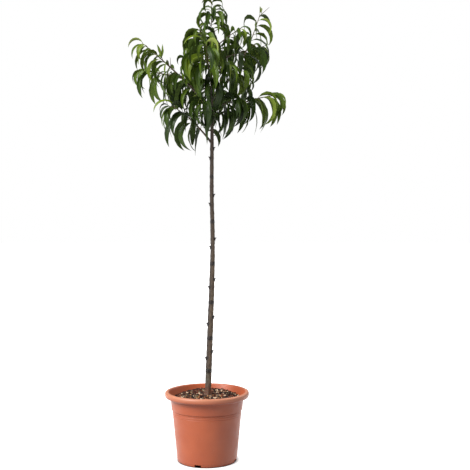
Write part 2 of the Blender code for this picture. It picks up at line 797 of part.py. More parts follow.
def make_foliage(shoot, leaves, finish):
    """One solid: the twig with its spurs and leaves joined on, their roots sunk into it."""
    mass = make_object("leaves_" + shoot.name, twig_solid(shoot), finish)
    parts = [make_object("leaf", leaf.solid(), finish) for leaf in leaves]
    parts += [make_object("spur", spur_solid(shoot, share, end), finish) for share, end in shoot.spurs]
    combine(mass, parts, "UNION", "MANIFOLD")
    keep_outer_skin(mass)


def stand_of_limbs():
    """A crowd that holds the stem, every bough and every twig with its spurs, before any leaf grows."""
    crowd = Crowd()
    heights = [blend(STEM_FOOT, STEM_TOP, k / PLAIN_STEM_STEPS) for k in range(PLAIN_STEM_STEPS + 1)]
    line = [stem_point(height) for height in heights]
    crowd.add("trunk", tube(line, [stem_radius(height) + COLLAR_REACH for height in heights], BOUGH_SIDES))
    for shoot in SHOOTS:
        crowd.add("bough_" + shoot.name, bough_solid(shoot))
    for shoot in (*SHOOTS, LEADER):
        crowd.add(shoot.name, twig_solid(shoot))
        for share, end in shoot.spurs:
            crowd.add(shoot.name, spur_solid(shoot, share, end))
    return crowd


def main():
    clear_scene()
    plastic = make_material("terracotta plastic", (0.52, 0.17, 0.08), 0.5)
    mix = make_material("potting mix", (0.08, 0.05, 0.03), 0.95)
    bark = make_material("peach bark", (0.13, 0.10, 0.08), 0.85)
    foliage = make_material("peach leaf", (0.05, 0.12, 0.02), 0.55)
    make_pot(plastic)
    make_soil(mix)
    make_trunk(bark)
    crowd = stand_of_limbs()
    for shoot in SHOOTS:
        smooth(make_object("bough_" + shoot.name, bough_solid(shoot), bark), WOOD_CREASE)
    for shoot in (*SHOOTS, LEADER):
        make_foliage(shoot, grow_leaves(shoot, crowd), foliage)


main()
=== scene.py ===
"""A young flat peach tree on a bare stem in its nursery pot, dressed over its CAD model.

Metres, +Z up, seen from -Y with +X to the right. Shoots and leaves follow the same rule and seeds as the
solids do, so every leaf hangs where its solid hangs. Side twigs, smaller leaves, buds, bark and loose potting
mix are added within the same reach.
"""

import bisect
import math
import random
from dataclasses import dataclass

import bpy
import numpy as np
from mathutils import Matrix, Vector
from mathutils.bvhtree import BVHTree


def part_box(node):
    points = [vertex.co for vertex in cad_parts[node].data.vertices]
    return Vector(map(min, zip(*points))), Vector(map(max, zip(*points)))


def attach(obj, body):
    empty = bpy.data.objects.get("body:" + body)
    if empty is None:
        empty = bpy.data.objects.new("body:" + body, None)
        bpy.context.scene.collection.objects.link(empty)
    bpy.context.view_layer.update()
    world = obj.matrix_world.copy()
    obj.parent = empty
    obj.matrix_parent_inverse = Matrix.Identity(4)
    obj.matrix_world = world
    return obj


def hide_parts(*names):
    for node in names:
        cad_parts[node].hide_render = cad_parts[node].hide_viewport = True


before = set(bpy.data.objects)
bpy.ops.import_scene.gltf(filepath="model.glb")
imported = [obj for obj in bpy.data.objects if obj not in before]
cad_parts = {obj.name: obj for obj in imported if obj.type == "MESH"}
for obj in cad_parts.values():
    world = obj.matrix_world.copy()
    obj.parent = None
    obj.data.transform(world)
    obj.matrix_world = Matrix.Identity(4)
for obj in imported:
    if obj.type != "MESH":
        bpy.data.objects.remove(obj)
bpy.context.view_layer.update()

MM = 0.001
UP = Vector((0, 0, 1))
RIGHT = Vector((1, 0, 0))
NEARLY_UPRIGHT = 0.97
CLEARANCE = 0.3 * MM

# Corners round a square, and the faces of a box whose lower corners come first
SQUARE = ((-1, -1), (1, -1), (1, 1), (-1, 1))
BOX_FACES = ((3, 2, 1, 0), (4, 5, 6, 7), (0, 1, 5, 4), (1, 2, 6, 5), (2, 3, 7, 6), (3, 0, 4, 7))

# Camera: it stands level, and its focal length is in pixels of the picture
CAMERA_PLACE = (0.093, -2.55, 0.747)
FOCAL_PIXELS = 765
PICTURE_PIXELS = 470
SENSOR_WIDTH = 36

# Light: a white studio, gentler from above and dim from below, and two soft suns. A sun is its name, a place
# that its light comes from the side of, its strength, and the angle in degrees that it is softened over.
WORLD_ABOVE = 0.38
WORLD_BELOW = 0.13
WORLD_BLEND = 0.25
SUNS = (
    ("key", (-2.4, -1.7, 2.5), 3.7, 34),
    ("rim", (2.2, 1.6, 2.4), 0.7, 30),
)

# Floor: its white and its glow both start near the pot's edge, so that under the pot it is painted shade,
# near black
FLOOR_HALF_SIZE = 60.0
FLOOR_DEPTH = 1 * MM
FLOOR_PAINTED_SHADE_TO_WHITE = (96 * MM, 99 * MM)
FLOOR_GLOW_FROM = (97 * MM, 110 * MM)
FLOOR_GLOW = 0.86

# Edges sharper than these angles in degrees stay sharp
CHIP_CREASE = 20
POT_CREASE = 35
STEM_CREASE = 50
LEAF_CREASE = 55
SOFT_CREASE = 60

# How far the gloss of a plain finish drifts up and down
GLOSS_DRIFT = 0.07

# Pot: radii and heights of its turned wall
POT_SIDES = 144
POT_BASE_RADIUS = 99 * MM
POT_BASE_ROUND = 3 * MM
POT_BAND_HEIGHT = 168 * MM
POT_BAND_RADIUS = 115.5 * MM
POT_BAND_STEP = 2.6 * MM
POT_GROOVE_HEIGHTS = (153.5 * MM, 161 * MM)
POT_GROOVE_DEPTH = 0.8 * MM
POT_GROOVE_WIDTH = 2.4 * MM
BAND_GROOVE_DEPTH = 1.1 * MM
BAND_GROOVE_WIDTH = 3 * MM
POT_FOOT_HEIGHT = 7 * MM
POT_FOOT_STEP = 1.2 * MM
POT_COLLAR_HEIGHT = 203.5 * MM
POT_COLLAR_RADIUS = 121 * MM
POT_RIM_NECK_RADIUS = 122.5 * MM
POT_RIM_RADIUS = 140 * MM
POT_RIM_INNER_RADIUS = 127 * MM
POT_RIM_UNDERSIDE = 208.5 * MM
POT_HEIGHT = 227.5 * MM
POT_RIM_ROUND = 8 * MM
POT_WALL = 2.4 * MM
POT_FLOOR = 2.6 * MM
BAND_LEDGE_SHARE = 0.4

# Fades of the rim's painted highlight, a paler colour on its outer roll: how far short of its lower and upper
# edge the one up its height begins and ends, and how wide the one out from its inner edge is
RIM_HIGHLIGHT_MARGIN = 4 * MM
RIM_HIGHLIGHT_EDGE_FADE = 3 * MM

# Roundings of the wall's corners: their steps, and the length that each takes from both sides of a corner
FILLET_STEPS = 5
EDGE_ROUND = 0.3 * MM
STEP_ROUND = 0.6 * MM
BAND_LIP_ROUND = 0.4 * MM
BAND_GROOVE_ROUND = 0.5 * MM
BAND_ROUND = 0.9 * MM
COLLAR_ROUND = 1.2 * MM
NECK_ROUND = 1.5 * MM
RIM_INNER_ROUND = 4 * MM

# Drainage: four channels under the floor, each under a raised hump and open at the pot's edge
CHANNELS = 4
CHANNEL_BEARING = -15.8
CHANNEL_WIDTH = 22 * MM
CHANNEL_HEIGHT = 8 * MM
CHANNEL_INNER_END = 38 * MM
HUMP_WALL = 2.5 * MM
HUMP_OUTER_END = 98 * MM
DRAIN_RADIUS = 8 * MM
DRAIN_SIDES = 24
DRAIN_DISTANCE = 62 * MM

# Potting mix: its mound, its rings and sides, the lumps on it and its rise round the stem's foot
SOIL_EDGE_HEIGHT = 203 * MM
SOIL_MIDDLE_HEIGHT = 213 * MM
SOIL_BACK_RISE = 12 * MM
SOIL_FLAT_RADIUS = 24 * MM
SOIL_RINGS = 60
SOIL_SIDES = 180
SOIL_LUMP = 8 * MM
SOIL_LUMP_HEIGHT = 1.6 * MM
SOIL_LATTICE = 64
SOIL_LATTICE_REACH = 1.2
SOIL_FINER = 2.3
SOIL_FINE_SHARE = 0.5
SOIL_SEED = 3
SOIL_FINE_SEED = 4
SOIL_SIDE_HEIGHTS = (100 * MM, 170 * MM, 174 * MM)
SOIL_EDGE_DROP = 4 * MM
SOIL_INNER_RING = 0.6 * MM
SOIL_FOOT_REACH = 7 * MM
SOIL_FOOT_RISE = 2.2 * MM

# Loose bits of the mix. Widths and thicknesses are shares of the length, corners are shares of the box's
# own that they keep, the tilt is in radians, and the rise is a share of the thickness.
CHIP_COUNT = 2600
CHIP_SMALLEST = 2.5 * MM
CHIP_LARGEST = 12 * MM
CHIP_EDGE = 117 * MM
CHIP_SEED = 44
CHIP_STEM_ROOM = 15 * MM
CHIP_SMALLNESS = 2.2
CHIP_WIDTHS = (0.35, 0.8)
CHIP_THICKNESSES = (0.15, 0.4)
CHIP_CORNERS = (0.55, 1.0)
CHIP_TILT = 0.35
CHIP_RISE = 0.4

# Stem: its line as height, sideways place and depth, and its radius at some heights
STEM_FOOT = SOIL_MIDDLE_HEIGHT + CLEARANCE
STEM_TOP = 1375 * MM
STEM_LINE = (
    (STEM_FOOT, 3 * MM, 0 * MM),
    (450 * MM, 11 * MM, 2 * MM),
    (700 * MM, 18.5 * MM, 0 * MM),
    (900 * MM, 15.5 * MM, -2 * MM),
    (1100 * MM, 16.5 * MM, 0 * MM),
    (1250 * MM, 14.5 * MM, 3 * MM),
    (STEM_TOP, 11 * MM, 2 * MM),
)
STEM_RADII = (
    (STEM_FOOT, 14.5 * MM),
    (221 * MM, 12.4 * MM),
    (233 * MM, 10.6 * MM),
    (261 * MM, 10.2 * MM),
    (430 * MM, 9.7 * MM),
    (590 * MM, 8.9 * MM),
    (720 * MM, 7.4 * MM),
    (850 * MM, 6.7 * MM),
    (1050 * MM, 6.2 * MM),
    (1250 * MM, 4.0 * MM),
    (STEM_TOP, 2.5 * MM),
)
BARK_RING_SPACING = 1.2 * MM
BARK_SIDES = 48
ROOT_FLARES = 5
ROOT_FLARE_DEPTH = 1.5 * MM
ROOT_FLARE_HEIGHT = 30 * MM
PLAIN_STEM_STEPS = 40

# Waves of the bark: depth, how many go round the stem, their height and the seed of their noise
BARK_WAVES = (
    (0.30 * MM, 9, 26 * MM, 7),
    (0.22 * MM, 14, 5 * MM, 8),
    (0.12 * MM, 7, 1.9 * MM, 9),
)

# Colour of the bark: the bearing in degrees of its side of painted light, opposite its painted shade, how
# much painted light the boughs get, and the heights between which it darkens going up, and takes on algae and
# splashes of mix going down
PAINTED_LIGHT_BEARING = 78
BOUGH_PAINTED_LIGHT = 0.35
STEM_DARKENS = (620 * MM, 850 * MM)
ALGAE_GROWS = (310 * MM, 260 * MM)
MIX_SPLASHES = (262 * MM, 232 * MM)

# Knobs: they wind up the stem two turns in five, a little farther apart higher up
KNOBS = 29
KNOB_TURN = 144.0
FIRST_KNOB = 295.7 * MM
KNOB_SPACING = 20.7 * MM
KNOB_SPACING_GROWTH = 0.205 * MM
KNOB_BULGE = 2.4 * MM
SMALL_KNOB_BULGE = 1.4 * MM
SMALL_KNOBS = (1, 4)
KNOBS_A_ROUND = 5
KNOB_HALF_HEIGHT = 7.5 * MM
KNOB_HALF_ANGLE = 30.0
STEEPER_ABOVE = 1.5
GENTLER_BELOW = 0.8
NODE_SWELLING = 0.5 * MM
SCAR_HALF_HEIGHT = 5.2 * MM
SCAR_HALF_ANGLE = 45.0
FRONT_SCAR_HALF_ANGLE = 85.0
STUB_RADIUS = 1.7 * MM
STUB_LENGTH = 4.2 * MM
STUB_SIDES = 10
STUB_RISE = 0.75
STUB_START = 0.2
STUB_TAPER = (1.25, 1.0, 0.8)
STUB_SIZE = (1.4, 1.0)
SMALL_STUB_SIZE = (0.8, 0.7)

# Boughs and twigs
COLLAR_REACH = 3 * MM
COLLAR_SWELLING = 1.5
COLLAR_SHARE = 0.05
FOOT_SHARE = 0.01
BUD_RING_SPACING = 0.045
BUD_RING_RISE = 0.2 * MM
BUD_RING_FROM = 0.6
BOUGH_SIDES = 14
BOUGH_RINGS = 40
TWIG_SIDES = 8
TWIG_RINGS = 60
GREEN_FROM_RING = 40
TWIG_END = 0.5
TWIG_STEPS = 5
SOLID_TWIG_SIDES = 3
SOLID_BOUGH_SIDES = 5
BOUGH_STEPS = 4
TWIG_TIP_RADIUS = 0.9 * MM
LEADER_FOOT_RADIUS = 2.4 * MM
SPUR_RADIUS = 1.3 * MM
SPUR_TIP_RADIUS = 0.7 * MM
SPUR_RINGS = 4

# Leaves: how they grow along a twig, with angles in degrees and places as shares of the twig or the leaf
LEAF_TURN = 144.0
TURN_SCATTER = 14.0
FIRST_LEAF_SHARE = 0.04
LAST_LEAF_SHARE = 0.985
SPREAD_AT_BASE = 60.0
SPREAD_AT_TIP = 32.0
SPREAD_SCATTER = 8.0
UPWARD_BIAS = -0.1
HANGING_ANGLES = (204.0, 268.0)
YOUNG_BEND = (100.0, 150.0)
YOUNG_FROM = 0.86
ERECT_ANGLES = ((-10.0, -2.0), (8.0, 22.0))
ERECT_LENGTH = 50 * MM
ERECT_WIDTH = 14 * MM
ERECT_ROLL = 35.0
SWING = 30.0
ROLLS = (25.0, 80.0)
LEAF_SLENDERNESS = 0.17
LENGTH_SCATTER = (0.86, 1.06)
WIDTH_SCATTER = (0.82, 1.15)
YOUNG_NARROWING = 0.3
SHORTER_AT_BASE = 0.3
SHORTER_AT_TIP = 0.38
TIP_EASE = 1.6
TOWARD_TIP = 0.74
BEND_EASE = 1.15
LEAF_STEPS = 24
LEAF_SECTIONS = (0, 5, 11, 17)
OUTER_PART_FROM = 5
STALK_SHARE = 0.07
STALK_HALF_WIDTH = 1.0 * MM
BLADE_RISE = 0.85
BLADE_FALL = 1.15
LEAF_THICKNESS = 0.014
LEAST_THICKNESS = 1.1 * MM

# Room that a new leaf needs, and the heights that the crown keeps to
CLEAR_WIDTH = 1.2
CLEAR_THICKNESS = 1.8 * MM
TRIES = 7
NUDGE = 23.0
CROWN_BOTTOM = 1010 * MM
CROWN_TOP = 1528 * MM

# Side twigs: they carry the growth on to smaller leaves, inside the reach of their own shoot
SIDE_TWIG_LENGTH = (34 * MM, 78 * MM)
SIDE_TWIG_SPREAD = (35.0, 75.0)
SIDE_TWIG_ARCH = 8 * MM
SIDE_TWIG_RADIUS = 1.3 * MM
SIDE_TWIG_TIP_RADIUS = 0.7 * TWIG_TIP_RADIUS
SIDE_TWIG_SIDES = 6
SIDE_TWIG_STEPS = 4
SIDE_TWIG_FIRST = 0.06
SIDE_TWIG_LAST = 0.72
SIDE_LEAVES = (5, 8)
SIDE_LEAF_LENGTH = (54 * MM, 96 * MM)
SIDE_CLEAR_WIDTH = 1.0
SIDE_FIRST_LEAF_SHARE = FIRST_LEAF_SHARE + 0.1
SIDE_SEED_STEP = 500
REACH_MARGIN = 2 * MM

# Tones of leaves: what youth adds, how much darker side twigs' leaves are as painted shade, the tone of a
# plain leaf and the scatter about it
YOUNG_TONE = 1.5
SIDE_YOUNG_TONE = 1.1
SIDE_PAINTED_SHADE = 0.2
PLAIN_TONE = 2.0
TONE_SCATTER = 0.55

# How a leaf is drawn: rows along it, the finishes of the faces round a row (0 the blade, 1 the midrib and 2
# the underside), its stalk, its fold, its ripple, its twist and its midrib
LEAF_SEED = 91
SMALL_LEAF_SEED = 92
LEAF_ROWS = (0, 2, 4, 7, 10, 13, 16, 19, 21, 23, 24)
LEAF_PARTS = (0, 0, 1, 0, 0, 2, 2)
STALK_THINNING = 0.8
FOLD_ANGLES = (8.0, 34.0)
FOLD_AT_BASE = 1.15
FOLD_LOST = 0.6
FOLD_BULGE = 0.10
BULGE_PLACE = 0.55
RIPPLE = 0.10
RIPPLES = (2.2, 4.0)
INNER_RIPPLE = 0.3
TWISTS = (-26.0, 26.0)
TWIST_PIVOT = 0.3
RIB_HALF_WIDTH = 0.55 * MM
RIB_WIDEST = 0.5
RIB_NARROWING = 0.6
RIB_DEPTH = 0.9 * MM
RIB_DEPTH_LENGTH = 100 * MM
LEAST_RIB_DEPTH = 0.25 * MM

# Buds: their rings' places are shares of the length, lengths and radii are in millimetres, and they point
# partly up and partly along the leaf
BUD_SEED = 77
BUD_SIDES = 6
BUD_START = 0.4 * MM
BUD_LENGTHS = (2.2, 3.6)
BUD_PLACES = (0, 0.4, 0.8, 1)
BUD_RADII = (0.55, 1.045, 0.55, 0.088)
BUD_UPWARD = 0.8
BUD_ALONG = 0.5


def blend(a, b, share):
    return a + (b - a) * share


def curve(start, middle, tip, t):
    """The quadratic curve from start to tip that heads for middle first."""
    return start * (1 - t) ** 2 + middle * 2 * t * (1 - t) + tip * t * t


def direction_at(bearing):
    """The level direction of a bearing in degrees: 0 is to the front and 90 to the right."""
    angle = math.radians(bearing)
    return Vector((math.sin(angle), -math.cos(angle), 0))


def bearing_of(direction):
    return math.degrees(math.atan2(direction.x, -direction.y))


def read_stations(stations, height):
    """Straight interpolation in rows of a height and one value."""
    heights = [row[0] for row in stations]
    at = min(max(bisect.bisect_right(heights, height), 1), len(stations) - 1)
    low, high = stations[at - 1], stations[at]
    share = min(max((height - low[0]) / (high[0] - low[0]), 0), 1)
    return blend(low[1], high[1], share)


def stem_radius(height):
    return read_stations(STEM_RADII, height)


def stem_point(height):
    """The stem's middle at a height: a Catmull-Rom curve through the stations of its line."""
    rows = [Vector(row) for row in STEM_LINE]
    heights = [row[0] for row in STEM_LINE]
    at = min(max(bisect.bisect_right(heights, height) - 1, 0), len(rows) - 2)
    before, low, high, after = (rows[min(max(at + k, 0), len(rows) - 1)] for k in (-1, 0, 1, 2))
    t = (height - low[0]) / (high[0] - low[0])
    place = 0.5 * (
        2 * low
        + (high - before) * t
        + (2 * before - 5 * low + 4 * high - after) * t * t
        + (3 * low - before - 3 * high + after) * t * t * t
    )
    return Vector((place[1], place[2], height))


@dataclass
class Shoot:
    """A shoot of the crown. Sizes are in millimetres.

    It leaves the stem at a height and runs to its tip, arched above the straight line and swerving to one
    side. The bare share of it is a bough, and leaves grow on the rest. A spur is a leafless stub, given as
    its place on the shoot and its end from there. An erect place, a share of the leafy part, holds two
    upright leaves. The tone is painted light and shade: it lightens the leaves of a lit spray and darkens
    those of a low or inner one. Side twigs are the finer ones that leave it."""

    name: str
    height: float
    tip: tuple
    arch: float
    bare: float
    radius: float
    leaves: int
    leaf_length: float
    seed: int
    swerve: tuple = (0, 0, 0)
    spurs: tuple = ()
    erect: tuple = ()
    tone: float = 0.0
    side_twigs: int = 3

    def controls(self):
        """The shoot's foot in the stem's middle, the point that it heads for, and its tip."""
        start = stem_point(self.height * MM)
        tip = Vector(self.tip) * MM
        return start, (start + tip) / 2 + UP * self.arch * MM + Vector(self.swerve) * MM, tip

    def place(self, t):
        """A point of the shoot, from 0 in the stem's middle to 1 at the tip."""
        return curve(*self.controls(), t)

    def after(self, t, distance):
        """The curve's parameter a short distance past t."""
        step = 0.001
        speed = (self.place(t + step) - self.place(t)).length / step
        return t + distance / speed

    def collar_end(self):
        """Where the shoot has cleared the stem's bark."""
        away = (self.place(FOOT_SHARE) - self.place(0)).normalized()
        level = math.hypot(away.x, away.y)
        reach = (stem_radius(self.height * MM) + COLLAR_REACH + self.radius * MM * abs(away.z)) / level
        return self.after(0, reach)

    def stretch(self, begin, end, steps):
        return [self.place(blend(begin, end, k / steps)) for k in range(steps + 1)]

    def radius_at(self, t):
        return blend(self.radius * MM, TWIG_TIP_RADIUS, t)

    def bough_line(self):
        return self.stretch(self.after(self.collar_end(), CLEARANCE), self.bare, BOUGH_STEPS)

    def twig_line(self):
        return self.stretch(self.after(self.bare, CLEARANCE), 1.0, TWIG_STEPS)


# Each row: name, height, tip, arch, bare share, radius, number of leaves, their length, seed and swerve
# A spray's tone is painted light and shade on its leaves: darker for sprays low or inside the crown, lighter
# for lit ones
SHOOTS = (
    Shoot("low_left", 1052, (-114, 4, 1176), 24, 0.14, 3.6, 17, 148, 745, tone=-0.6),
    Shoot("low_front", 1102, (-14, -112, 1174), 34, 0.20, 3.2, 14, 128, 953, tone=-0.9),
    Shoot("right_arm", 1134, (226, -30, 1206), 30, 0.36, 4.2, 17, 142, 134, tone=0.4, side_twigs=2),
    Shoot("low_right", 1146, (92, -70, 1180), 28, 0.22, 3.2, 17, 146, 259, tone=-0.9),
    Shoot(
        "left_arm", 1168, (-213, -38, 1378), 16, 0.16, 4.6, 23, 126, 61,
        spurs=((0.59, (-2, 0, 34)),), erect=(0.68,), tone=0.9,
    ),
    Shoot("low_back", 1184, (24, 165, 1248), 34, 0.30, 3.6, 13, 130, 471, tone=-0.4, side_twigs=4),
    Shoot(
        "upper_right", 1202, (176, 0, 1482), -54, 0.34, 4.2, 20, 146, 150, (22, 0, 0),
        spurs=((0.985, (33, 0, 30)),), tone=0.4,
    ),
    Shoot("middle_front", 1213, (18, -98, 1232), 34, 0.28, 3.0, 15, 138, 247, tone=-0.9),
    Shoot("low_back_left", 1224, (-106, 128, 1262), 26, 0.28, 3.4, 12, 130, 761, tone=-0.2, side_twigs=4),
    Shoot("left_low_arm", 1238, (-218, 66, 1308), 14, 0.46, 4.0, 13, 140, 80, tone=0.8, side_twigs=2),
    Shoot("front_right", 1254, (80, -124, 1286), 28, 0.26, 3.2, 13, 126, 677, tone=0.1),
    Shoot("front_middle", 1270, (0, -140, 1356), -44, 0.30, 3.2, 19, 138, 453, tone=0.9, side_twigs=2),
    Shoot("low_back_right", 1287, (128, 122, 1262), 36, 0.28, 3.2, 12, 126, 22, tone=-0.2, side_twigs=4),
    Shoot("front_left", 1303, (-46, -116, 1318), 28, 0.24, 2.8, 14, 124, 316, tone=0.1),
    Shoot(
        "middle_right", 1315, (182, 66, 1388), 16, 0.30, 3.0, 13, 128, 105,
        spurs=((0.96, (34, 0, 12)),), tone=0.1,
    ),
    Shoot("upper_left", 1329, (-24, -46, 1420), 14, 0.22, 2.8, 15, 122, 386, tone=0.4),
    Shoot("upper_back_right", 1343, (60, 132, 1400), 18, 0.24, 2.6, 13, 120, 26, tone=0.1, side_twigs=4),
    Shoot("upper_front_right", 1356, (112, -52, 1420), 14, 0.28, 2.4, 11, 98, 158, tone=0.3, side_twigs=2),
    Shoot("upper_back_left", 1366, (-50, 116, 1420), 18, 0.24, 2.4, 12, 116, 79, tone=0.1, side_twigs=4),
)
LEADER = Shoot(
    "leader", STEM_TOP / MM, (21, 0, 1508), 0, 0.0, LEADER_FOOT_RADIUS / MM, 25, 124, 379, (-6, 2, 0),
    tone=0.4,
)
ALL_SHOOTS = (*SHOOTS, LEADER)


@dataclass
class Leaf:
    """A hanging leaf. It leaves the twig at an angle from the upright, turns down past the plumb line, and
    swings sideways as it goes. The roll turns its face about its own midrib."""

    root: Vector
    bearing: float
    start_angle: float
    end_angle: float
    swing: float
    length: float
    width: float
    roll: float
    tone: float = 0.0

    def spine(self):
        """Points down the midrib and the direction at each."""
        step = self.length / LEAF_STEPS
        point = self.root.copy()
        places = []
        for index in range(LEAF_STEPS + 1):
            share = index / LEAF_STEPS
            bent = 1 - (1 - share) ** BEND_EASE
            angle = math.radians(blend(self.start_angle, self.end_angle, bent))
            level = direction_at(self.bearing + self.swing * share)
            ahead = level * math.sin(angle) + UP * math.cos(angle)
            places.append((point.copy(), ahead))
            point = point + ahead * step
        return places

    def half_width(self, share):
        """Half the width of a lance-shaped blade at a share of its length, with a short stalk."""
        if share <= STALK_SHARE:
            return STALK_HALF_WIDTH
        t = (share - STALK_SHARE) / (1 - STALK_SHARE)
        widest = BLADE_RISE / (BLADE_RISE + BLADE_FALL)
        blade = self.width / 2 * (t / widest) ** BLADE_RISE * ((1 - t) / (1 - widest)) ** BLADE_FALL
        return max(STALK_HALF_WIDTH * (1 - t), blade)

    def facing(self, ahead, share):
        """The direction across the blade and the one below it, after its roll."""
        level = direction_at(self.bearing + self.swing * share + 90)
        aside = (level - ahead * level.dot(ahead)).normalized()
        normal = ahead.cross(aside)
        across = aside * math.cos(self.roll) + normal * math.sin(self.roll)
        return across, across.cross(ahead)

    def solid(self, first=0, widen=1.0, thicken=0.0):
        """The closed solid from a section onward: two edges and a keel, drawn to a point at the tip."""
        places = self.spine()
        sections = [index for index in LEAF_SECTIONS if index >= first]
        depth = max(LEAST_THICKNESS, LEAF_THICKNESS * self.length) + thicken / 2
        vertices = []
        for index in sections:
            share = index / LEAF_STEPS
            middle, ahead = places[index]
            across, below = self.facing(ahead, share)
            half = self.half_width(share) * widen
            upper = middle - below * (thicken / 2)
            vertices += [upper - across * half, middle + below * depth, upper + across * half]
        vertices.append(places[-1][0])
        tip = len(vertices) - 1
        faces = [(2, 1, 0)]
        for ring in range(len(sections) - 1):
            for side in range(3):
                here = ring * 3 + side
                beside = ring * 3 + (side + 1) % 3
                faces.append((here, beside, beside + 3, here + 3))
        last = (len(sections) - 1) * 3
        faces += [(last + side, last + (side + 1) % 3, tip) for side in range(3)]
        return vertices, faces


def size_along(share):
    """How long a leaf is beside the twig's longest, by its place on the twig: shorter at both ends."""
    from_base = max(0.0, 1 - share * 4)
    to_tip = max(0.0, share * 2 - 1)
    return 1 - SHORTER_AT_BASE * from_base**2 - SHORTER_AT_TIP * to_tip**TIP_EASE


def point_along(line, share):
    """The place and direction at a share of a line through points."""
    place = share * (len(line) - 1)
    at = min(int(place), len(line) - 2)
    step = line[at + 1] - line[at]
    return line[at] + step * (place - at), step.normalized()


def young_part(share):
    return max(0.0, (share - YOUNG_FROM) / (1 - YOUNG_FROM))


def outward_at(ahead, angle):
    """The direction square to a twig at an angle in radians about it."""
    side = (RIGHT if abs(ahead.z) > NEARLY_UPRIGHT else UP.cross(ahead)).normalized()
    side = (side - ahead * side.dot(ahead)).normalized()
    return side * math.cos(angle) + ahead.cross(side) * math.sin(angle)


def heading_at(ahead, outward, spread):
    """Where a leaf or side twig sets off to, at an angle in degrees from its twig, a little downward."""
    spread = math.radians(spread)
    return (ahead * math.cos(spread) + outward * math.sin(spread) + UP * UPWARD_BIAS).normalized()


def draw_leaf(chance, line, share, turn, longest):
    """One leaf at a place on a twig, turned about it by an angle."""
    root, ahead = point_along(line, share)
    outward = outward_at(ahead, math.radians(turn + chance.uniform(-TURN_SCATTER, TURN_SCATTER)))
    spread = blend(SPREAD_AT_BASE, SPREAD_AT_TIP, share) + chance.uniform(-SPREAD_SCATTER, SPREAD_SCATTER)
    heading = heading_at(ahead, outward, spread)
    level = outward if abs(heading.z) > NEARLY_UPRIGHT else heading
    start_angle = math.degrees(math.acos(heading.z))
    young = young_part(share)
    end_angle = blend(chance.uniform(*HANGING_ANGLES), start_angle + chance.uniform(*YOUNG_BEND), young)
    swing = chance.uniform(-SWING, SWING)
    length = longest * size_along(share) * chance.uniform(*LENGTH_SCATTER)
    width = length * LEAF_SLENDERNESS * chance.uniform(*WIDTH_SCATTER) * (1 - YOUNG_NARROWING * young)
    roll = math.radians(chance.choice((-1, 1)) * chance.uniform(*ROLLS))
    return Leaf(root, bearing_of(level), start_angle, end_angle, swing, length, width, roll)


def erect_pair(line, share):
    """Two small upright leaves at a place on a twig, one leaning out and one nearly plumb."""
    root, ahead = point_along(line, share)
    roll = math.radians(ERECT_ROLL)
    bearing = bearing_of(ahead)
    angles = [(bearing, start, end) for start, end in ERECT_ANGLES]
    return [Leaf(root, at, start, end, 0, ERECT_LENGTH, ERECT_WIDTH, roll) for at, start, end in angles]


def box_of(vertices):
    low = [min(v[k] for v in vertices) for k in range(3)]
    high = [max(v[k] for v in vertices) for k in range(3)]
    return low, high


def tree_of(solid):
    vertices, faces = solid
    return BVHTree.FromPolygons([tuple(v) for v in vertices], faces)


class Crowd:
    """The solids placed so far, each with its owner and box, for finding what a new leaf would touch."""

    def __init__(self):
        self.members = []

    def add(self, owner, solid):
        low, high = box_of(solid[0])
        self.members.append((owner, low, high, tree_of(solid)))

    def has_room(self, owner, leaf, widen):
        """True if the leaf clears every other owner's solids, and its outer part those of its own twig."""
        whole = leaf.solid(0, widen, CLEAR_THICKNESS)
        outer = leaf.solid(OUTER_PART_FROM, widen, CLEAR_THICKNESS)
        low, high = box_of(whole[0])
        whole_tree = tree_of(whole)
        outer_tree = tree_of(outer)
        for other, other_low, other_high, tree in self.members:
            if any(low[k] > other_high[k] or high[k] < other_low[k] for k in range(3)):
                continue
            if (outer_tree if other == owner else whole_tree).overlap(tree):
                return False
        return True

    def take(self, owner, leaf, tone, widen=CLEAR_WIDTH):
        """Places a leaf and gives it its tone if there is room for it, and says whether there is."""
        if not self.has_room(owner, leaf, widen):
            return False
        self.add(owner, leaf.solid())
        leaf.tone = tone
        return True


def grow_leaves(shoot, crowd):
    """The leaves of one shoot. A leaf that would touch something is turned a little, and at last left out."""
    chance = random.Random(shoot.seed)
    line = shoot.twig_line()
    first_turn = chance.uniform(0, 360)
    grown = []
    for index in range(shoot.leaves):
        step = (index / (shoot.leaves - 1)) ** TOWARD_TIP
        share = blend(FIRST_LEAF_SHARE, LAST_LEAF_SHARE, step)
        for attempt in range(TRIES):
            nudge = NUDGE * attempt * (1 if attempt % 2 else -1)
            turn = first_turn + LEAF_TURN * index + nudge
            leaf = draw_leaf(chance, line, share, turn, shoot.leaf_length * MM)
            heights = [place.z for place, _ in leaf.spine()]
            if min(heights) < CROWN_BOTTOM or max(heights) > CROWN_TOP:
                continue
            # The leaf's tone is its spray's painted light and shade, lightened by youth
            if crowd.take(shoot.name, leaf, shoot.tone + YOUNG_TONE * young_part(share)):
                grown.append(leaf)
                break
    for share in shoot.erect:
        grown += [leaf for leaf in erect_pair(line, share) if crowd.take(shoot.name, leaf, shoot.tone)]
    return grown


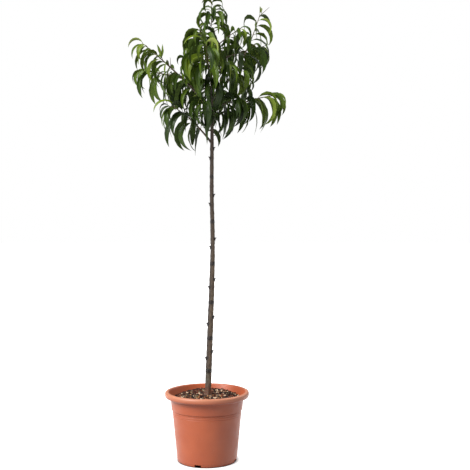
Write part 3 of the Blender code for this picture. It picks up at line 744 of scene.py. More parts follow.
def plain_tube(line, radii, sides):
    """The solid that a limb takes up in the crowd: rings square to the line, carried along without twist."""
    vertices = []
    last = len(line) - 1
    tangent = (line[1] - line[0]).normalized()
    reference = RIGHT if abs(tangent.z) > NEARLY_UPRIGHT else UP
    across = (reference - tangent * reference.dot(tangent)).normalized()
    for index, point in enumerate(line):
        ahead = (line[min(index + 1, last)] - line[max(index - 1, 0)]).normalized()
        across = tangent.rotation_difference(ahead) @ across
        tangent = ahead
        upright = tangent.cross(across)
        for side in range(sides):
            angle = 2 * math.pi * side / sides
            vertices.append(point + (across * math.cos(angle) + upright * math.sin(angle)) * radii[index])
    faces = [tuple(reversed(range(sides)))]
    for ring in range(last):
        for side in range(sides):
            here = ring * sides + side
            beside = ring * sides + (side + 1) % sides
            faces.append((here, beside, beside + sides, here + sides))
    faces.append(tuple(range(last * sides, last * sides + sides)))
    return vertices, faces


def radii_between(foot, tip, count):
    return [blend(foot, tip, k / (count - 1)) for k in range(count)]


def stand_of_limbs():
    """A crowd that holds the stem, every bough and every twig with its spurs, before any leaf grows."""
    crowd = Crowd()
    heights = [blend(STEM_FOOT, STEM_TOP, k / PLAIN_STEM_STEPS) for k in range(PLAIN_STEM_STEPS + 1)]
    line = [stem_point(height) for height in heights]
    radii = [stem_radius(height) + COLLAR_REACH for height in heights]
    crowd.add("trunk", plain_tube(line, radii, SOLID_BOUGH_SIDES))
    for shoot in SHOOTS:
        line = shoot.bough_line()
        radii = radii_between(shoot.radius * MM, shoot.radius_at(shoot.bare), len(line))
        crowd.add("bough_" + shoot.name, plain_tube(line, radii, SOLID_BOUGH_SIDES))
    for shoot in ALL_SHOOTS:
        line = shoot.twig_line()
        radii = radii_between(shoot.radius_at(shoot.bare), TWIG_TIP_RADIUS, len(line))
        crowd.add(shoot.name, plain_tube(line, radii, SOLID_TWIG_SIDES))
        for share, end in shoot.spurs:
            start = shoot.place(share)
            line = [start, start + Vector(end) * MM]
            crowd.add(shoot.name, plain_tube(line, [SPUR_RADIUS, SPUR_TIP_RADIUS], SOLID_TWIG_SIDES))
    return crowd


@dataclass
class SideTwig:
    """A fine twig that leaves a shoot, as points down its line, with its own leaves."""

    line: list
    leaves: list


def inside(points, box):
    """True if no point is past the box by more than the margin."""
    bounds = [(low - REACH_MARGIN, high + REACH_MARGIN) for low, high in zip(*box)]
    return all(low <= value <= high for point in points for value, (low, high) in zip(point, bounds))


def draw_side_twig(chance, line, share):
    """The line of a side twig: a quadratic curve that leaves its shoot sideways and arches a little."""
    root, ahead = point_along(line, share)
    outward = outward_at(ahead, chance.uniform(0, 2 * math.pi))
    heading = heading_at(ahead, outward, chance.uniform(*SIDE_TWIG_SPREAD))
    tip = root + heading * chance.uniform(*SIDE_TWIG_LENGTH)
    middle = (root + tip) / 2 + UP * SIDE_TWIG_ARCH
    return [curve(root, middle, tip, k / SIDE_TWIG_STEPS) for k in range(SIDE_TWIG_STEPS + 1)]


def grow_side_twigs(shoot, crowd):
    """Fine twigs on a shoot with smaller leaves, all kept inside the box of the shoot's own mass."""
    chance = random.Random(shoot.seed + SIDE_SEED_STEP)
    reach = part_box("leaves_" + shoot.name)
    line = shoot.twig_line()
    grown = []
    for index in range(shoot.side_twigs):
        owner = f"{shoot.name} side {index}"
        share = blend(SIDE_TWIG_FIRST, SIDE_TWIG_LAST, (index + chance.random()) / shoot.side_twigs)
        for _ in range(TRIES):
            twig = SideTwig(draw_side_twig(chance, line, share), [])
            if not inside(twig.line, reach):
                continue
            longest = chance.uniform(*SIDE_LEAF_LENGTH)
            count = chance.randint(*SIDE_LEAVES)
            first_turn = chance.uniform(0, 360)
            for number in range(count):
                place = blend(SIDE_FIRST_LEAF_SHARE, LAST_LEAF_SHARE, number / (count - 1))
                leaf = draw_leaf(chance, twig.line, place, first_turn + LEAF_TURN * number, longest)
                # Side twig leaves take their spray's painted light and shade, with more painted shade,
                # lightened by youth
                tone = shoot.tone - SIDE_PAINTED_SHADE + SIDE_YOUNG_TONE * young_part(place)
                points = [point for point, _ in leaf.spine()]
                if max(point.z for point in points) >= CROWN_TOP or not inside(points, reach):
                    continue
                if crowd.take(owner, leaf, tone, SIDE_CLEAR_WIDTH):
                    twig.leaves.append(leaf)
            if len(twig.leaves) * 2 >= count:
                grown.append(twig)
                break
    return grown


def linear(hex_colour):
    """An sRGB colour as linear light: a channel is c/12.92 up to 0.04045, else ((c + 0.055)/1.055)^2.4."""
    channels = [int(hex_colour[k : k + 2], 16) / 255 for k in (1, 3, 5)]
    return tuple(c / 12.92 if c <= 0.04045 else ((c + 0.055) / 1.055) ** 2.4 for c in channels) + (1.0,)


def add(tree, kind, inputs=None, **options):
    """Adds a node with its options. Each input is given a value or a hex colour, or linked to a socket."""
    node = tree.nodes.new("ShaderNode" + kind)
    for name, value in options.items():
        setattr(node, name, value)
    for name, value in (inputs or {}).items():
        if isinstance(value, bpy.types.NodeSocket):
            tree.links.new(value, node.inputs[name])
        else:
            node.inputs[name].default_value = linear(value) if isinstance(value, str) else value
    return node


def start_material(name, roughness):
    """A new material with its node tree and its Principled shader."""
    made = bpy.data.materials.new(name)
    made.use_nodes = True
    shader = made.node_tree.nodes["Principled BSDF"]
    shader.inputs["Roughness"].default_value = roughness
    return made, made.node_tree, shader


def calculate(tree, operation, one, other):
    return add(tree, "Math", {0: one, 1: other}, operation=operation).outputs["Value"]


def object_place(tree):
    return add(tree, "TexCoord").outputs["Object"]


def object_height(tree):
    return add(tree, "SeparateXYZ", {"Vector": object_place(tree)}).outputs["Z"]


def object_distance(tree):
    """The distance from the upright line through the object's origin."""
    level = add(tree, "VectorMath", {0: object_place(tree), 1: (1, 1, 0)}, operation="MULTIPLY")
    return add(tree, "VectorMath", {0: level.outputs["Vector"]}, operation="LENGTH").outputs["Value"]


def noise(tree, size, detail=3.0, stretch=(1, 1, 1)):
    """Noise on Object coordinates whose features are about one size, in metres, stretched along the axes."""
    scale = tuple(1 / (size * k) for k in stretch)
    mapped = add(tree, "Mapping", {"Vector": object_place(tree), "Scale": scale}).outputs["Vector"]
    return add(tree, "TexNoise", {"Vector": mapped, "Scale": 1.0, "Detail": detail}).outputs["Fac"]


def fade(tree, value, low, high, first=0.0, last=1.0):
    """A value read between two bounds, as a share from first to last."""
    inputs = {"Value": value, "From Min": low, "From Max": high, "To Min": first, "To Max": last}
    return add(tree, "MapRange", inputs).outputs["Result"]


def mix(tree, share, one, other):
    """Two colours mixed, each a hex colour or a socket."""
    return add(tree, "Mix", {0: share, 6: one, 7: other}, data_type="RGBA").outputs[2]


def bump(tree, shader, height, distance, strength):
    inputs = {"Height": height, "Distance": distance, "Strength": strength}
    tree.links.new(add(tree, "Bump", inputs).outputs["Normal"], shader.inputs["Normal"])


def mottled(name, roughness, colours, patches, relief):
    """A finish of two colours. Patches are the size, detail and stretch of the noise that mixes them, and
    relief is the size and detail of a second noise with its depth and strength as a bump."""
    made, tree, shader = start_material(name, roughness)
    share = fade(tree, noise(tree, *patches), 0.35, 0.65)
    tree.links.new(mix(tree, share, *colours), shader.inputs["Base Color"])
    size, detail, depth, strength = relief
    bump(tree, shader, noise(tree, size, detail), depth, strength)
    return made


def pot_plastic():
    """Injection-moulded polypropylene, dyed terracotta: a satin skin with slow drifts of tone, a painted
    highlight that makes the outside of the rim paler, and a fine orange-peel grain that breaks up its
    highlights."""
    made, tree, shader = start_material("terracotta polypropylene", 0.4)
    drift = fade(tree, noise(tree, 70 * MM, 2.0), 0.3, 0.7)
    base = mix(tree, drift, "#B85832", "#C4623A")
    scuff = fade(tree, noise(tree, 5 * MM, 4.0, (1, 1, 0.4)), 0.62, 0.8, 0.0, 0.35)
    base = mix(tree, scuff, base, "#CC8A70")
    # Painted highlight: the rim's outer roll is mixed toward a pale colour, fading in up its height and out
    # from its inner edge
    rim_highlight_heights = (POT_RIM_UNDERSIDE + RIM_HIGHLIGHT_MARGIN, POT_HEIGHT - RIM_HIGHLIGHT_MARGIN)
    rim = fade(tree, object_height(tree), *rim_highlight_heights, 0, 0.42)
    outside = fade(tree, object_distance(tree), POT_RIM_INNER_RADIUS, POT_RIM_INNER_RADIUS + RIM_HIGHLIGHT_EDGE_FADE)
    base = mix(tree, calculate(tree, "MULTIPLY", rim, outside), base, "#E8B090")
    tree.links.new(base, shader.inputs["Base Color"])
    gloss = fade(tree, noise(tree, 18 * MM, 3.0), 0.3, 0.7, 0.36, 0.5)
    tree.links.new(gloss, shader.inputs["Roughness"])
    bump(tree, shader, noise(tree, 0.9 * MM, 2.0), 0.05 * MM, 0.5)
    return made


def soil_mix():
    """Moist peat: nearly black brown crumbs with lighter dry ones, quite matt."""
    colours = ("#221208", "#4C2A16")
    return mottled("moist peat", 0.95, colours, (3.5 * MM, 5.0), (1.6 * MM, 6.0, 0.9 * MM, 1.0))


def chip_finish(name, colour, darker):
    """A loose bit of the potting mix: bark, straw, grit or clay, matt with a little grain."""
    return mottled(name, 0.85, (colour, darker), (1.5 * MM, 3.0), (0.7 * MM, 2.0, 0.2 * MM, 0.7))


def stem_bark():
    """Young peach bark: grey brown and nearly smooth, with cross marks and nearly black scars, with painted
    light on its right side and painted shade on its left, darker higher up, with a film of algae and splashes
    of the mix near the soil."""
    made, tree, shader = start_material("young peach bark", 0.72)
    streaks = fade(tree, noise(tree, 2.6 * MM, 4.0, (1.4, 1.4, 7)), 0.38, 0.66)
    # Lit and shaded copies of the bark colour, mixed by the painted-light side: painted light on the stem's
    # right, painted shade on its left
    pale = mix(tree, streaks, "#604E3F", "#8A745A")
    dark = mix(tree, streaks, "#2E251D", "#443930")
    side = add(tree, "Attribute", attribute_name="painted_light_side").outputs["Fac"]
    base = mix(tree, fade(tree, side, 0.3, 0.95), dark, pale)
    marks = fade(tree, noise(tree, 3.4 * MM, 2.0, (1.6, 1.6, 0.3)), 0.60, 0.72, 0.0, 0.6)
    base = mix(tree, marks, base, "#877A6E")
    height = object_height(tree)
    base = mix(tree, fade(tree, height, *STEM_DARKENS, 0, 0.58), base, "#2E2016")
    scar = add(tree, "Attribute", attribute_name="scar").outputs["Fac"]
    base = mix(tree, fade(tree, scar, 0.08, 0.34, 0, 0.97), base, "#140C08")
    algae = fade(tree, noise(tree, 9 * MM), 0.3, 0.6, 0, 0.45)
    algae = calculate(tree, "MULTIPLY", algae, fade(tree, height, *ALGAE_GROWS))
    base = mix(tree, algae, base, "#6C7568")
    splash = fade(tree, noise(tree, 4 * MM), 0.36, 0.52, 0, 0.85)
    splash = calculate(tree, "MULTIPLY", splash, fade(tree, height, *MIX_SPLASHES))
    base = mix(tree, splash, base, "#70412A")
    tree.links.new(base, shader.inputs["Base Color"])
    bump(tree, shader, calculate(tree, "ADD", marks, streaks), 0.35 * MM, 0.8)
    return made


def twig_bark(name, colour, paler):
    """The smooth skin of a young twig, a little glossy."""
    patches = (5 * MM, 3.0, (1, 1, 2))
    return mottled(name, 0.5, (colour, paler), patches, (1.2 * MM, 2.0, 0.15 * MM, 0.6))


def plain_finish(name, colour, roughness, sheen=0.5):
    """One plain colour with a fine grain in its gloss and relief, for leaves, buds and cut wood."""
    made, tree, shader = start_material(name, roughness)
    shader.inputs["Specular IOR Level"].default_value = sheen
    shader.inputs["Base Color"].default_value = linear(colour)
    grain = noise(tree, 1.4 * MM, 2.0)
    gloss = fade(tree, grain, 0.3, 0.7, roughness - GLOSS_DRIFT, roughness + GLOSS_DRIFT)
    tree.links.new(gloss, shader.inputs["Roughness"])
    bump(tree, shader, grain, 0.12 * MM, 0.6)
    return made


# Leaf finishes from the darkest, for painted shade, to young growth: name, upper side, midrib and underside
LEAF_TONES = (
    ("shaded", "#152207", "#2F4014", "#283915"),
    ("deep", "#263A0A", "#475B1B", "#3B4F1A"),
    ("grown", "#39520C", "#617424", "#4F6521"),
    ("light", "#526C10", "#7F912E", "#667B29"),
    ("fresh", "#6F8518", "#98A73E", "#7F9238"),
    ("young", "#8A9C38", "#A9B45C", "#96A552"),
)


def leaf_finishes():
    """The finishes of the leaves, three for each tone, in the order that faces are numbered in."""
    made = []
    for name, upper, rib, under in LEAF_TONES:
        made.append(plain_finish(f"peach leaf {name}", upper, 0.42, 0.24))
        made.append(plain_finish(f"peach leaf {name} midrib", rib, 0.5, 0.2))
        made.append(plain_finish(f"peach leaf {name} underside", under, 0.6, 0.15))
    return made


class Joined:
    """Collects surfaces as arrays of points and faces, and makes one mesh of them."""

    def __init__(self):
        self.points = []
        self.faces = []
        self.finishes = []
        self.total = 0

    def add(self, points, faces, finish=0):
        """Points and the faces between them, numbered from the first of these points."""
        points = np.asarray(points, dtype=float).reshape(-1, 3)
        self.points.append(points)
        self.cover(np.asarray(faces, dtype=int) + self.total, finish)
        self.total += len(points)

    def cover(self, faces, finish=0):
        """More faces between points that are there already, numbered from the first of all."""
        self.faces.append(faces)
        self.finishes.append(np.broadcast_to(finish, (len(faces),)))

    def add_rings(self, rings, finish=0):
        """Rings of points with quads between them and a flat face over each end."""
        count, sides = rings.shape[:2]
        first = self.total + np.arange(sides)
        self.add(rings, grid_faces(count, sides, around=True), finish)
        self.cover(np.stack([first[::-1], first + (count - 1) * sides]), finish)

    def piece(self, name, materials, crease=None):
        """The mesh object at the origin, smooth but for edges sharper than the crease."""
        mesh = bpy.data.meshes.new(name)
        points = np.concatenate(self.points)
        corners = np.concatenate([faces.ravel() for faces in self.faces])
        sizes = np.concatenate([np.full(len(faces), faces.shape[1]) for faces in self.faces])
        mesh.vertices.add(len(points))
        mesh.vertices.foreach_set("co", points.ravel())
        mesh.loops.add(len(corners))
        mesh.loops.foreach_set("vertex_index", corners.astype(np.int32))
        mesh.polygons.add(len(sizes))
        mesh.polygons.foreach_set("loop_start", (np.cumsum(sizes) - sizes).astype(np.int32))
        mesh.polygons.foreach_set("material_index", np.concatenate(self.finishes).astype(np.int32))
        mesh.update(calc_edges=True)
        mesh.validate()
        mesh.shade_smooth()
        if crease is not None:
            mesh.set_sharp_from_angle(angle=math.radians(crease))
        for material in materials:
            mesh.materials.append(material)
        made = bpy.data.objects.new(name, mesh)
        bpy.context.scene.collection.objects.link(made)
        return made


def grid_faces(rows, columns, around=False):
    """Quads of a grid of points numbered row by row. The last column joins the first where it goes around."""
    across = columns if around else columns - 1
    row, column = np.meshgrid(np.arange(rows - 1), np.arange(across), indexing="ij")
    here = row * columns + column
    beside = row * columns + (column + 1) % columns
    return np.stack([here, beside, beside + columns, here + columns], axis=-1).reshape(-1, 4)


def unit(vectors):
    return vectors / np.linalg.norm(vectors, axis=-1, keepdims=True)


def unit_circle(sides):
    angle = np.linspace(0, 2 * np.pi, sides, endpoint=False)
    return np.stack([np.cos(angle), np.sin(angle)], axis=-1)


def level_rings(profile, sides):
    """A ring of points about Z for each radius and height of a profile: a point is (r cos a, r sin a, z)."""
    profile = np.asarray(profile)
    flat = profile[:, 0][:, None, None] * unit_circle(sides)[None]
    heights = np.broadcast_to(profile[:, 1][:, None, None], (len(profile), sides, 1))
    return np.concatenate([flat, heights], axis=-1)


def lattice_noise(u, v, columns, seed):
    """Smooth noise from -1 to 1: random values on a square lattice, blended by the smoothstep 3s^2 - 2s^3 of
    the place between them. It repeats along u after a number of columns."""
    rows = int(np.max(v)) + 3
    values = np.random.default_rng(seed).uniform(-1, 1, (rows, columns))
    left = np.floor(u).astype(int)
    low = np.floor(v).astype(int)
    s = u - left
    t = v - low
    s = s * s * (3 - 2 * s)
    t = t * t * (3 - 2 * t)
    right = (left + 1) % columns
    left = left % columns
    bottom = values[low, left] * (1 - s) + values[low, right] * s
    top = values[low + 1, left] * (1 - s) + values[low + 1, right] * s
    return bottom * (1 - t) + top * t


def add_tube(joined, line, radii, sides, hint, finish=0):
    """A round tube closed at both ends. Ring k is line[k] + r[k] (across cos a + over sin a), where across is
    the part of the hint square to the line, and over is square to both."""
    line = np.asarray(line, dtype=float)
    hint = np.asarray(hint, dtype=float)
    ahead = unit(np.gradient(line, axis=0))
    across = unit(hint - ahead * (ahead @ hint)[:, None])
    over = np.cross(ahead, across)
    circle = unit_circle(sides)
    ring = across[:, None] * circle[:, :1] + over[:, None] * circle[:, 1:]
    joined.add_rings(line[:, None] + ring * np.asarray(radii)[:, None, None], finish)


def fillet(corners):
    """A profile with its corners rounded. Each corner is a radius, a height and the length that its rounding
    takes from both sides, and the rounding is the quadratic curve with the corner as its middle point."""
    rows = []
    t = np.linspace(0, 1, FILLET_STEPS + 1)[:, None]
    for index, (radius, height, size) in enumerate(corners):
        corner = np.array([radius, height])
        if not size:
            rows.append(corner[None])
            continue
        begin, end = (corner + unit(np.array(corners[index + k][:2]) - corner) * size for k in (-1, 1))
        rows.append(curve(begin, corner, end, t))
    return np.concatenate(rows)


def turned(joined, profile, sides):
    """A solid of revolution about Z from a profile that starts and ends on the axis."""
    rings = level_rings(profile[1:-1], sides)
    ends = [(0, 0, profile[0, 1]), (0, 0, profile[-1, 1])]
    side = joined.total + np.arange(sides)
    beside = np.roll(side, -1)
    last = (len(rings) - 1) * sides
    joined.add(np.concatenate([rings.reshape(-1, 3), ends]), grid_faces(len(rings), sides, around=True))
    bottom = np.full(sides, joined.total - 2)
    joined.cover(np.stack([bottom, beside, side], axis=-1))
    joined.cover(np.stack([bottom + 1, side + last, beside + last], axis=-1))


def box_along(name, bearing, inner, outer, width, bottom, top):
    """An upright box whose long side runs outward along a bearing."""
    ahead = np.array(direction_at(bearing))
    aside = np.array([-ahead[1], ahead[0], 0]) * (width / 2)
    corners = [ahead * inner - aside, ahead * outer - aside, ahead * outer + aside, ahead * inner + aside]
    joined = Joined()
    joined.add([corner + [0, 0, height] for height in (bottom, top) for corner in corners], BOX_FACES)
    return joined.piece(name, [])


def combine(target, helper, operation):
    """Applies one Boolean between the target and a helper, which it then removes."""
    modifier = target.modifiers.new(operation.title(), "BOOLEAN")
    modifier.operation = operation
    modifier.object = helper
    modifier.solver = "EXACT"
    bpy.context.view_layer.objects.active = target
    bpy.ops.object.modifier_apply(modifier=modifier.name)
    bpy.data.objects.remove(helper, do_unlink=True)


def pot_inner_wall():
    """The pot's inside from the floor up, as radius, height and rounding."""
    return [
        (POT_BASE_RADIUS - POT_WALL, POT_FLOOR, POT_BASE_ROUND),
        (POT_BAND_RADIUS - POT_WALL, POT_BAND_HEIGHT + POT_WALL, STEP_ROUND),
        (POT_BAND_RADIUS + POT_BAND_STEP - POT_WALL, POT_BAND_HEIGHT + POT_BAND_STEP + POT_WALL, STEP_ROUND),
        (POT_COLLAR_RADIUS - POT_WALL, POT_COLLAR_HEIGHT, NECK_ROUND),
    ]


def wall_radius(height):
    """The outer wall's radius below the band: a straight taper."""
    return blend(POT_BASE_RADIUS, POT_BAND_RADIUS, height / POT_BAND_HEIGHT)


def pot_profile():
    """The pot's outline from the middle of its underside, up the outside, over the rim and down inside."""
    outside = [
        (0, 0, 0),
        (POT_BASE_RADIUS - POT_FOOT_STEP, 0, POT_BASE_ROUND),
        (wall_radius(POT_FOOT_HEIGHT) - POT_FOOT_STEP, POT_FOOT_HEIGHT, EDGE_ROUND),
        (wall_radius(POT_FOOT_HEIGHT), POT_FOOT_HEIGHT + POT_FOOT_STEP, STEP_ROUND),
    ]
    for height in POT_GROOVE_HEIGHTS:
        low = height - POT_GROOVE_WIDTH / 2
        high = height + POT_GROOVE_WIDTH / 2
        outside.append((wall_radius(low), low, EDGE_ROUND))
        outside.append((wall_radius(height) - POT_GROOVE_DEPTH, height, STEP_ROUND))
        outside.append((wall_radius(high), high, EDGE_ROUND))
    band_foot = POT_BAND_HEIGHT - BAND_GROOVE_WIDTH
    outside += [
        (wall_radius(band_foot), band_foot, BAND_LIP_ROUND),
        (POT_BAND_RADIUS - BAND_GROOVE_DEPTH, POT_BAND_HEIGHT, BAND_GROOVE_ROUND),
        (POT_BAND_RADIUS + POT_BAND_STEP, POT_BAND_HEIGHT + POT_BAND_STEP * BAND_LEDGE_SHARE, BAND_ROUND),
        (POT_COLLAR_RADIUS, POT_COLLAR_HEIGHT, COLLAR_ROUND),
        (POT_RIM_NECK_RADIUS, POT_RIM_UNDERSIDE, NECK_ROUND),
    ]
    rim = [
        (POT_RIM_RADIUS, POT_RIM_UNDERSIDE, POT_RIM_ROUND),
        (POT_RIM_RADIUS, POT_HEIGHT, POT_RIM_ROUND),
        (POT_RIM_INNER_RADIUS, POT_HEIGHT, RIM_INNER_ROUND),
        (POT_RIM_INNER_RADIUS - 2 * POT_WALL, POT_RIM_UNDERSIDE + 2 * POT_WALL, NECK_ROUND),
    ]
    return fillet(outside + rim + pot_inner_wall()[::-1] + [(0, POT_FLOOR, 0)])


def make_pot():
    """The pot: one turned wall, with humps joined to its floor and channels and drains cut through them."""
    joined = Joined()
    turned(joined, pot_profile(), POT_SIDES)
    pot = joined.piece("pot_shell", [pot_plastic()])
    hump_start = CHANNEL_INNER_END - HUMP_WALL
    hump_width = CHANNEL_WIDTH + 2 * HUMP_WALL
    hump_top = CHANNEL_HEIGHT + HUMP_WALL
    past_edge = POT_BASE_RADIUS + POT_BASE_ROUND
    bearings = [CHANNEL_BEARING + 360 / CHANNELS * k for k in range(CHANNELS)]
    for bearing in bearings:
        hump = box_along("hump", bearing, hump_start, HUMP_OUTER_END, hump_width, POT_FLOOR / 2, hump_top)
        combine(pot, hump, "UNION")
    for bearing in bearings:
        size = (CHANNEL_INNER_END, past_edge, CHANNEL_WIDTH, -POT_FLOOR, CHANNEL_HEIGHT)
        combine(pot, box_along("channel", bearing, *size), "DIFFERENCE")
        middle = direction_at(bearing) * DRAIN_DISTANCE
        drain = Joined()
        ends = [middle + UP * (CHANNEL_HEIGHT / 2), middle + UP * (hump_top + HUMP_WALL)]
        add_tube(drain, ends, [DRAIN_RADIUS] * 2, DRAIN_SIDES, (1, 0, 0))
        combine(pot, drain.piece("drain", []), "DIFFERENCE")
    pot.data.shade_smooth()
    pot.data.set_sharp_from_angle(angle=math.radians(POT_CREASE))
    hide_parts("pot")
    return pot


def soil_height(x, y):
    """The top of the potting mix: a low mound, level round the stem, with lumps of lattice noise on it."""
    radius = np.hypot(x, y)
    edge = POT_COLLAR_RADIUS - POT_WALL
    share = np.clip((radius - SOIL_FLAT_RADIUS) / (edge - SOIL_FLAT_RADIUS), 0, 1)
    mound = blend(SOIL_MIDDLE_HEIGHT, SOIL_EDGE_HEIGHT, share)
    u = (x + edge * SOIL_LATTICE_REACH) / SOIL_LUMP
    v = (y + edge * SOIL_LATTICE_REACH) / SOIL_LUMP
    lumps = lattice_noise(u, v, SOIL_LATTICE, SOIL_SEED)
    fine = lattice_noise(u * SOIL_FINER, v * SOIL_FINER, 2 * SOIL_LATTICE, SOIL_FINE_SEED)
    lumps = lumps + SOIL_FINE_SHARE * fine
    to_back = np.clip((y - SOIL_FLAT_RADIUS) / (POT_COLLAR_RADIUS - SOIL_FLAT_RADIUS), 0, 1)
    mound = mound + SOIL_BACK_RISE * to_back**2
    foot = stem_point(STEM_FOOT)
    from_bark = np.hypot(x - foot.x, y - foot.y) - stem_radius(STEM_FOOT)
    near_stem = np.exp(-((from_bark / SOIL_FOOT_REACH) ** 2))
    return mound + SOIL_LUMP_HEIGHT * lumps * (1 - near_stem) + SOIL_FOOT_RISE * near_stem


def make_soil():
    """The potting mix as a closed body: a polar grid for its top and a plain side and underside."""
    wall = [(height, radius - CLEARANCE) for radius, height, _ in pot_inner_wall()]
    bottom = CHANNEL_HEIGHT + HUMP_WALL + CLEARANCE
    side = [(read_stations(wall, height), height) for height in (bottom, *SOIL_SIDE_HEIGHTS)]
    edge = read_stations(wall, SOIL_EDGE_HEIGHT - SOIL_EDGE_DROP)
    flat = np.linspace(edge, SOIL_INNER_RING, SOIL_RINGS)[:, None, None] * unit_circle(SOIL_SIDES)[None]
    top = np.concatenate([flat, soil_height(flat[..., 0], flat[..., 1])[..., None]], axis=-1)
    joined = Joined()
    joined.add_rings(np.concatenate([level_rings(side, SOIL_SIDES), top]))
    soil = joined.piece("potting_mix", [soil_mix()], SOFT_CREASE)
    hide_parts("soil")
    return soil


# Loose bits of the mix: name, colour, darker grain, and how common each is
CHIP_KINDS = (
    ("dark bark chip", "#2C170C", "#170C06", 0.33),
    ("brown bark chip", "#5E3019", "#371B0D", 0.21),
    ("red bark chip", "#88442A", "#5A2A18", 0.19),
    ("straw bit", "#BC8654", "#865C36", 0.09),
    ("pale grit", "#EAD0B2", "#BC9C7C", 0.14),
    ("grey green bit", "#8C8460", "#605A3E", 0.04),
)


def make_chips():
    """Chips lying on the mix: each a box with its corners moved at random, turned any way but mostly flat."""
    chance = np.random.default_rng(CHIP_SEED)
    radius = CHIP_EDGE * np.sqrt(chance.uniform(0, 1, CHIP_COUNT))
    turn = chance.uniform(0, 2 * np.pi, CHIP_COUNT)
    x = radius * np.cos(turn)
    y = radius * np.sin(turn)
    foot = stem_point(STEM_FOOT)
    length = blend(CHIP_SMALLEST, CHIP_LARGEST, chance.uniform(0, 1, CHIP_COUNT) ** CHIP_SMALLNESS)
    off_stem = np.hypot(x - foot.x, y - foot.y) > CHIP_STEM_ROOM + length / 2
    kept = np.flatnonzero(off_stem & (radius + length / 2 < CHIP_EDGE))
    kind = chance.choice(len(CHIP_KINDS), CHIP_COUNT, p=[row[3] for row in CHIP_KINDS])
    width = length * chance.uniform(*CHIP_WIDTHS, CHIP_COUNT)
    thickness = length * chance.uniform(*CHIP_THICKNESSES, CHIP_COUNT)
    size = np.stack([length, width, thickness], axis=-1)
    box = np.array([(*corner, level) for level in (-1, 1) for corner in SQUARE]) / 2
    shape = box[None] * chance.uniform(*CHIP_CORNERS, (CHIP_COUNT, 8, 3)) * size[:, None]
    spin = chance.uniform(0, 2 * np.pi, CHIP_COUNT)
    tilt = chance.normal(0, CHIP_TILT, CHIP_COUNT)
    lean = chance.normal(0, CHIP_TILT, CHIP_COUNT)
    ahead = np.stack([np.cos(spin) * np.cos(tilt), np.sin(spin) * np.cos(tilt), np.sin(tilt)], axis=-1)
    hint = np.stack([-np.sin(spin), np.cos(spin), np.sin(lean)], axis=-1)
    above = unit(np.cross(ahead, hint))
    axes = np.stack([ahead, np.cross(above, ahead), above], axis=1)
    middle = np.stack([x, y, soil_height(x, y) + thickness * CHIP_RISE], axis=-1)
    points = np.einsum("nci,nij->ncj", shape, axes) + middle[:, None]
    numbered = np.array(BOX_FACES)[None] + (np.arange(len(kept)) * 8)[:, None, None]
    joined = Joined()
    joined.add(points[kept], numbered.reshape(-1, 4), np.repeat(kind[kept], len(BOX_FACES)))
    chips = joined.piece("loose_chips", [chip_finish(*row[:3]) for row in CHIP_KINDS], CHIP_CREASE)
    return chips


def knob_height(index):
    return FIRST_KNOB + KNOB_SPACING * index + KNOB_SPACING_GROWTH * index * index


def is_small_knob(index):
    return index % KNOBS_A_ROUND in SMALL_KNOBS


def knob_bulge(index):
    return SMALL_KNOB_BULGE if is_small_knob(index) else KNOB_BULGE


def bark_relief(height, bearing):
    """How far the bark stands out, and how dark it is with the scars of pruned shoots. A knob is
    (1 - h^2) exp(-b^2) in its half height and half angle, steeper above than below, and a scar is
    exp(-h^2 - b^2) in its own. The bark between them waves by lattice noise."""
    knobs = np.zeros_like(height + bearing)
    scars = np.zeros_like(knobs)
    swelling = np.zeros_like(knobs)
    for index in range(KNOBS):
        above = height - knob_height(index)
        rise = above / KNOB_HALF_HEIGHT * np.where(above > 0, STEEPER_ABOVE, GENTLER_BELOW)
        near = np.clip(1 - rise * rise, 0, 1)
        turn = (bearing - KNOB_TURN * index + 180) % 360 - 180
        knobs = np.maximum(knobs, near * knob_bulge(index) * np.exp(-((turn / KNOB_HALF_ANGLE) ** 2)))
        band = np.exp(-((above / SCAR_HALF_HEIGHT) ** 2))
        half_angle = SCAR_HALF_ANGLE if index % KNOBS_A_ROUND else FRONT_SCAR_HALF_ANGLE
        scars = np.maximum(scars, band * np.exp(-((turn / half_angle) ** 2)))
        swelling = np.maximum(swelling, near * NODE_SWELLING)
    fade_up = np.clip(1 - (height - STEM_FOOT) / ROOT_FLARE_HEIGHT, 0, 1)
    relief = knobs + swelling + ROOT_FLARE_DEPTH * fade_up * np.cos(np.radians(ROOT_FLARES * bearing))
    for depth, around, tall, seed in BARK_WAVES:
        relief = relief + depth * lattice_noise(bearing / 360 * around, height / tall, around, seed)
    return relief, scars


def paint(piece, name, values):
    """Gives the first points of a piece a value each, and the others 0, for its finish to read."""
    data = piece.data.attributes.new(name, "FLOAT", "POINT").data
    full = np.zeros(len(data))
    full[: len(values)] = values
    data.foreach_set("value", full)


def make_stem():
    """The stem as a grid of rings: a point is the stem's middle plus (radius + relief) along its bearing."""
    count = int((STEM_TOP - STEM_FOOT) / BARK_RING_SPACING)
    heights = np.linspace(STEM_FOOT, STEM_TOP, count)
    bearings = np.linspace(0, 360, BARK_SIDES, endpoint=False)
    middles = np.array([stem_point(height) for height in heights])
    radii = np.array([stem_radius(height) for height in heights])
    relief, scars = bark_relief(heights[:, None], bearings[None])
    radians = np.radians(bearings)
    level = np.stack([np.sin(radians), -np.cos(radians), np.zeros_like(radians)], axis=-1)
    points = middles[:, None] + level[None] * (radii[:, None] + relief)[..., None]
    joined = Joined()
    joined.add_rings(points)
    for index in range(KNOBS):
        add_stub(joined, index)
    stem = joined.piece("stem_bark", [stem_bark(), plain_finish("cut wood", "#2E2019", 0.8)], STEM_CREASE)
    # Painted light and shade round the stem: pale toward its right side, dark toward its left
    paint(stem, "painted_light_side", np.tile(0.5 + 0.5 * np.cos(np.radians(bearings - PAINTED_LIGHT_BEARING)), count))
    paint(stem, "scar", scars.ravel())
    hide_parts("trunk")
    return stem


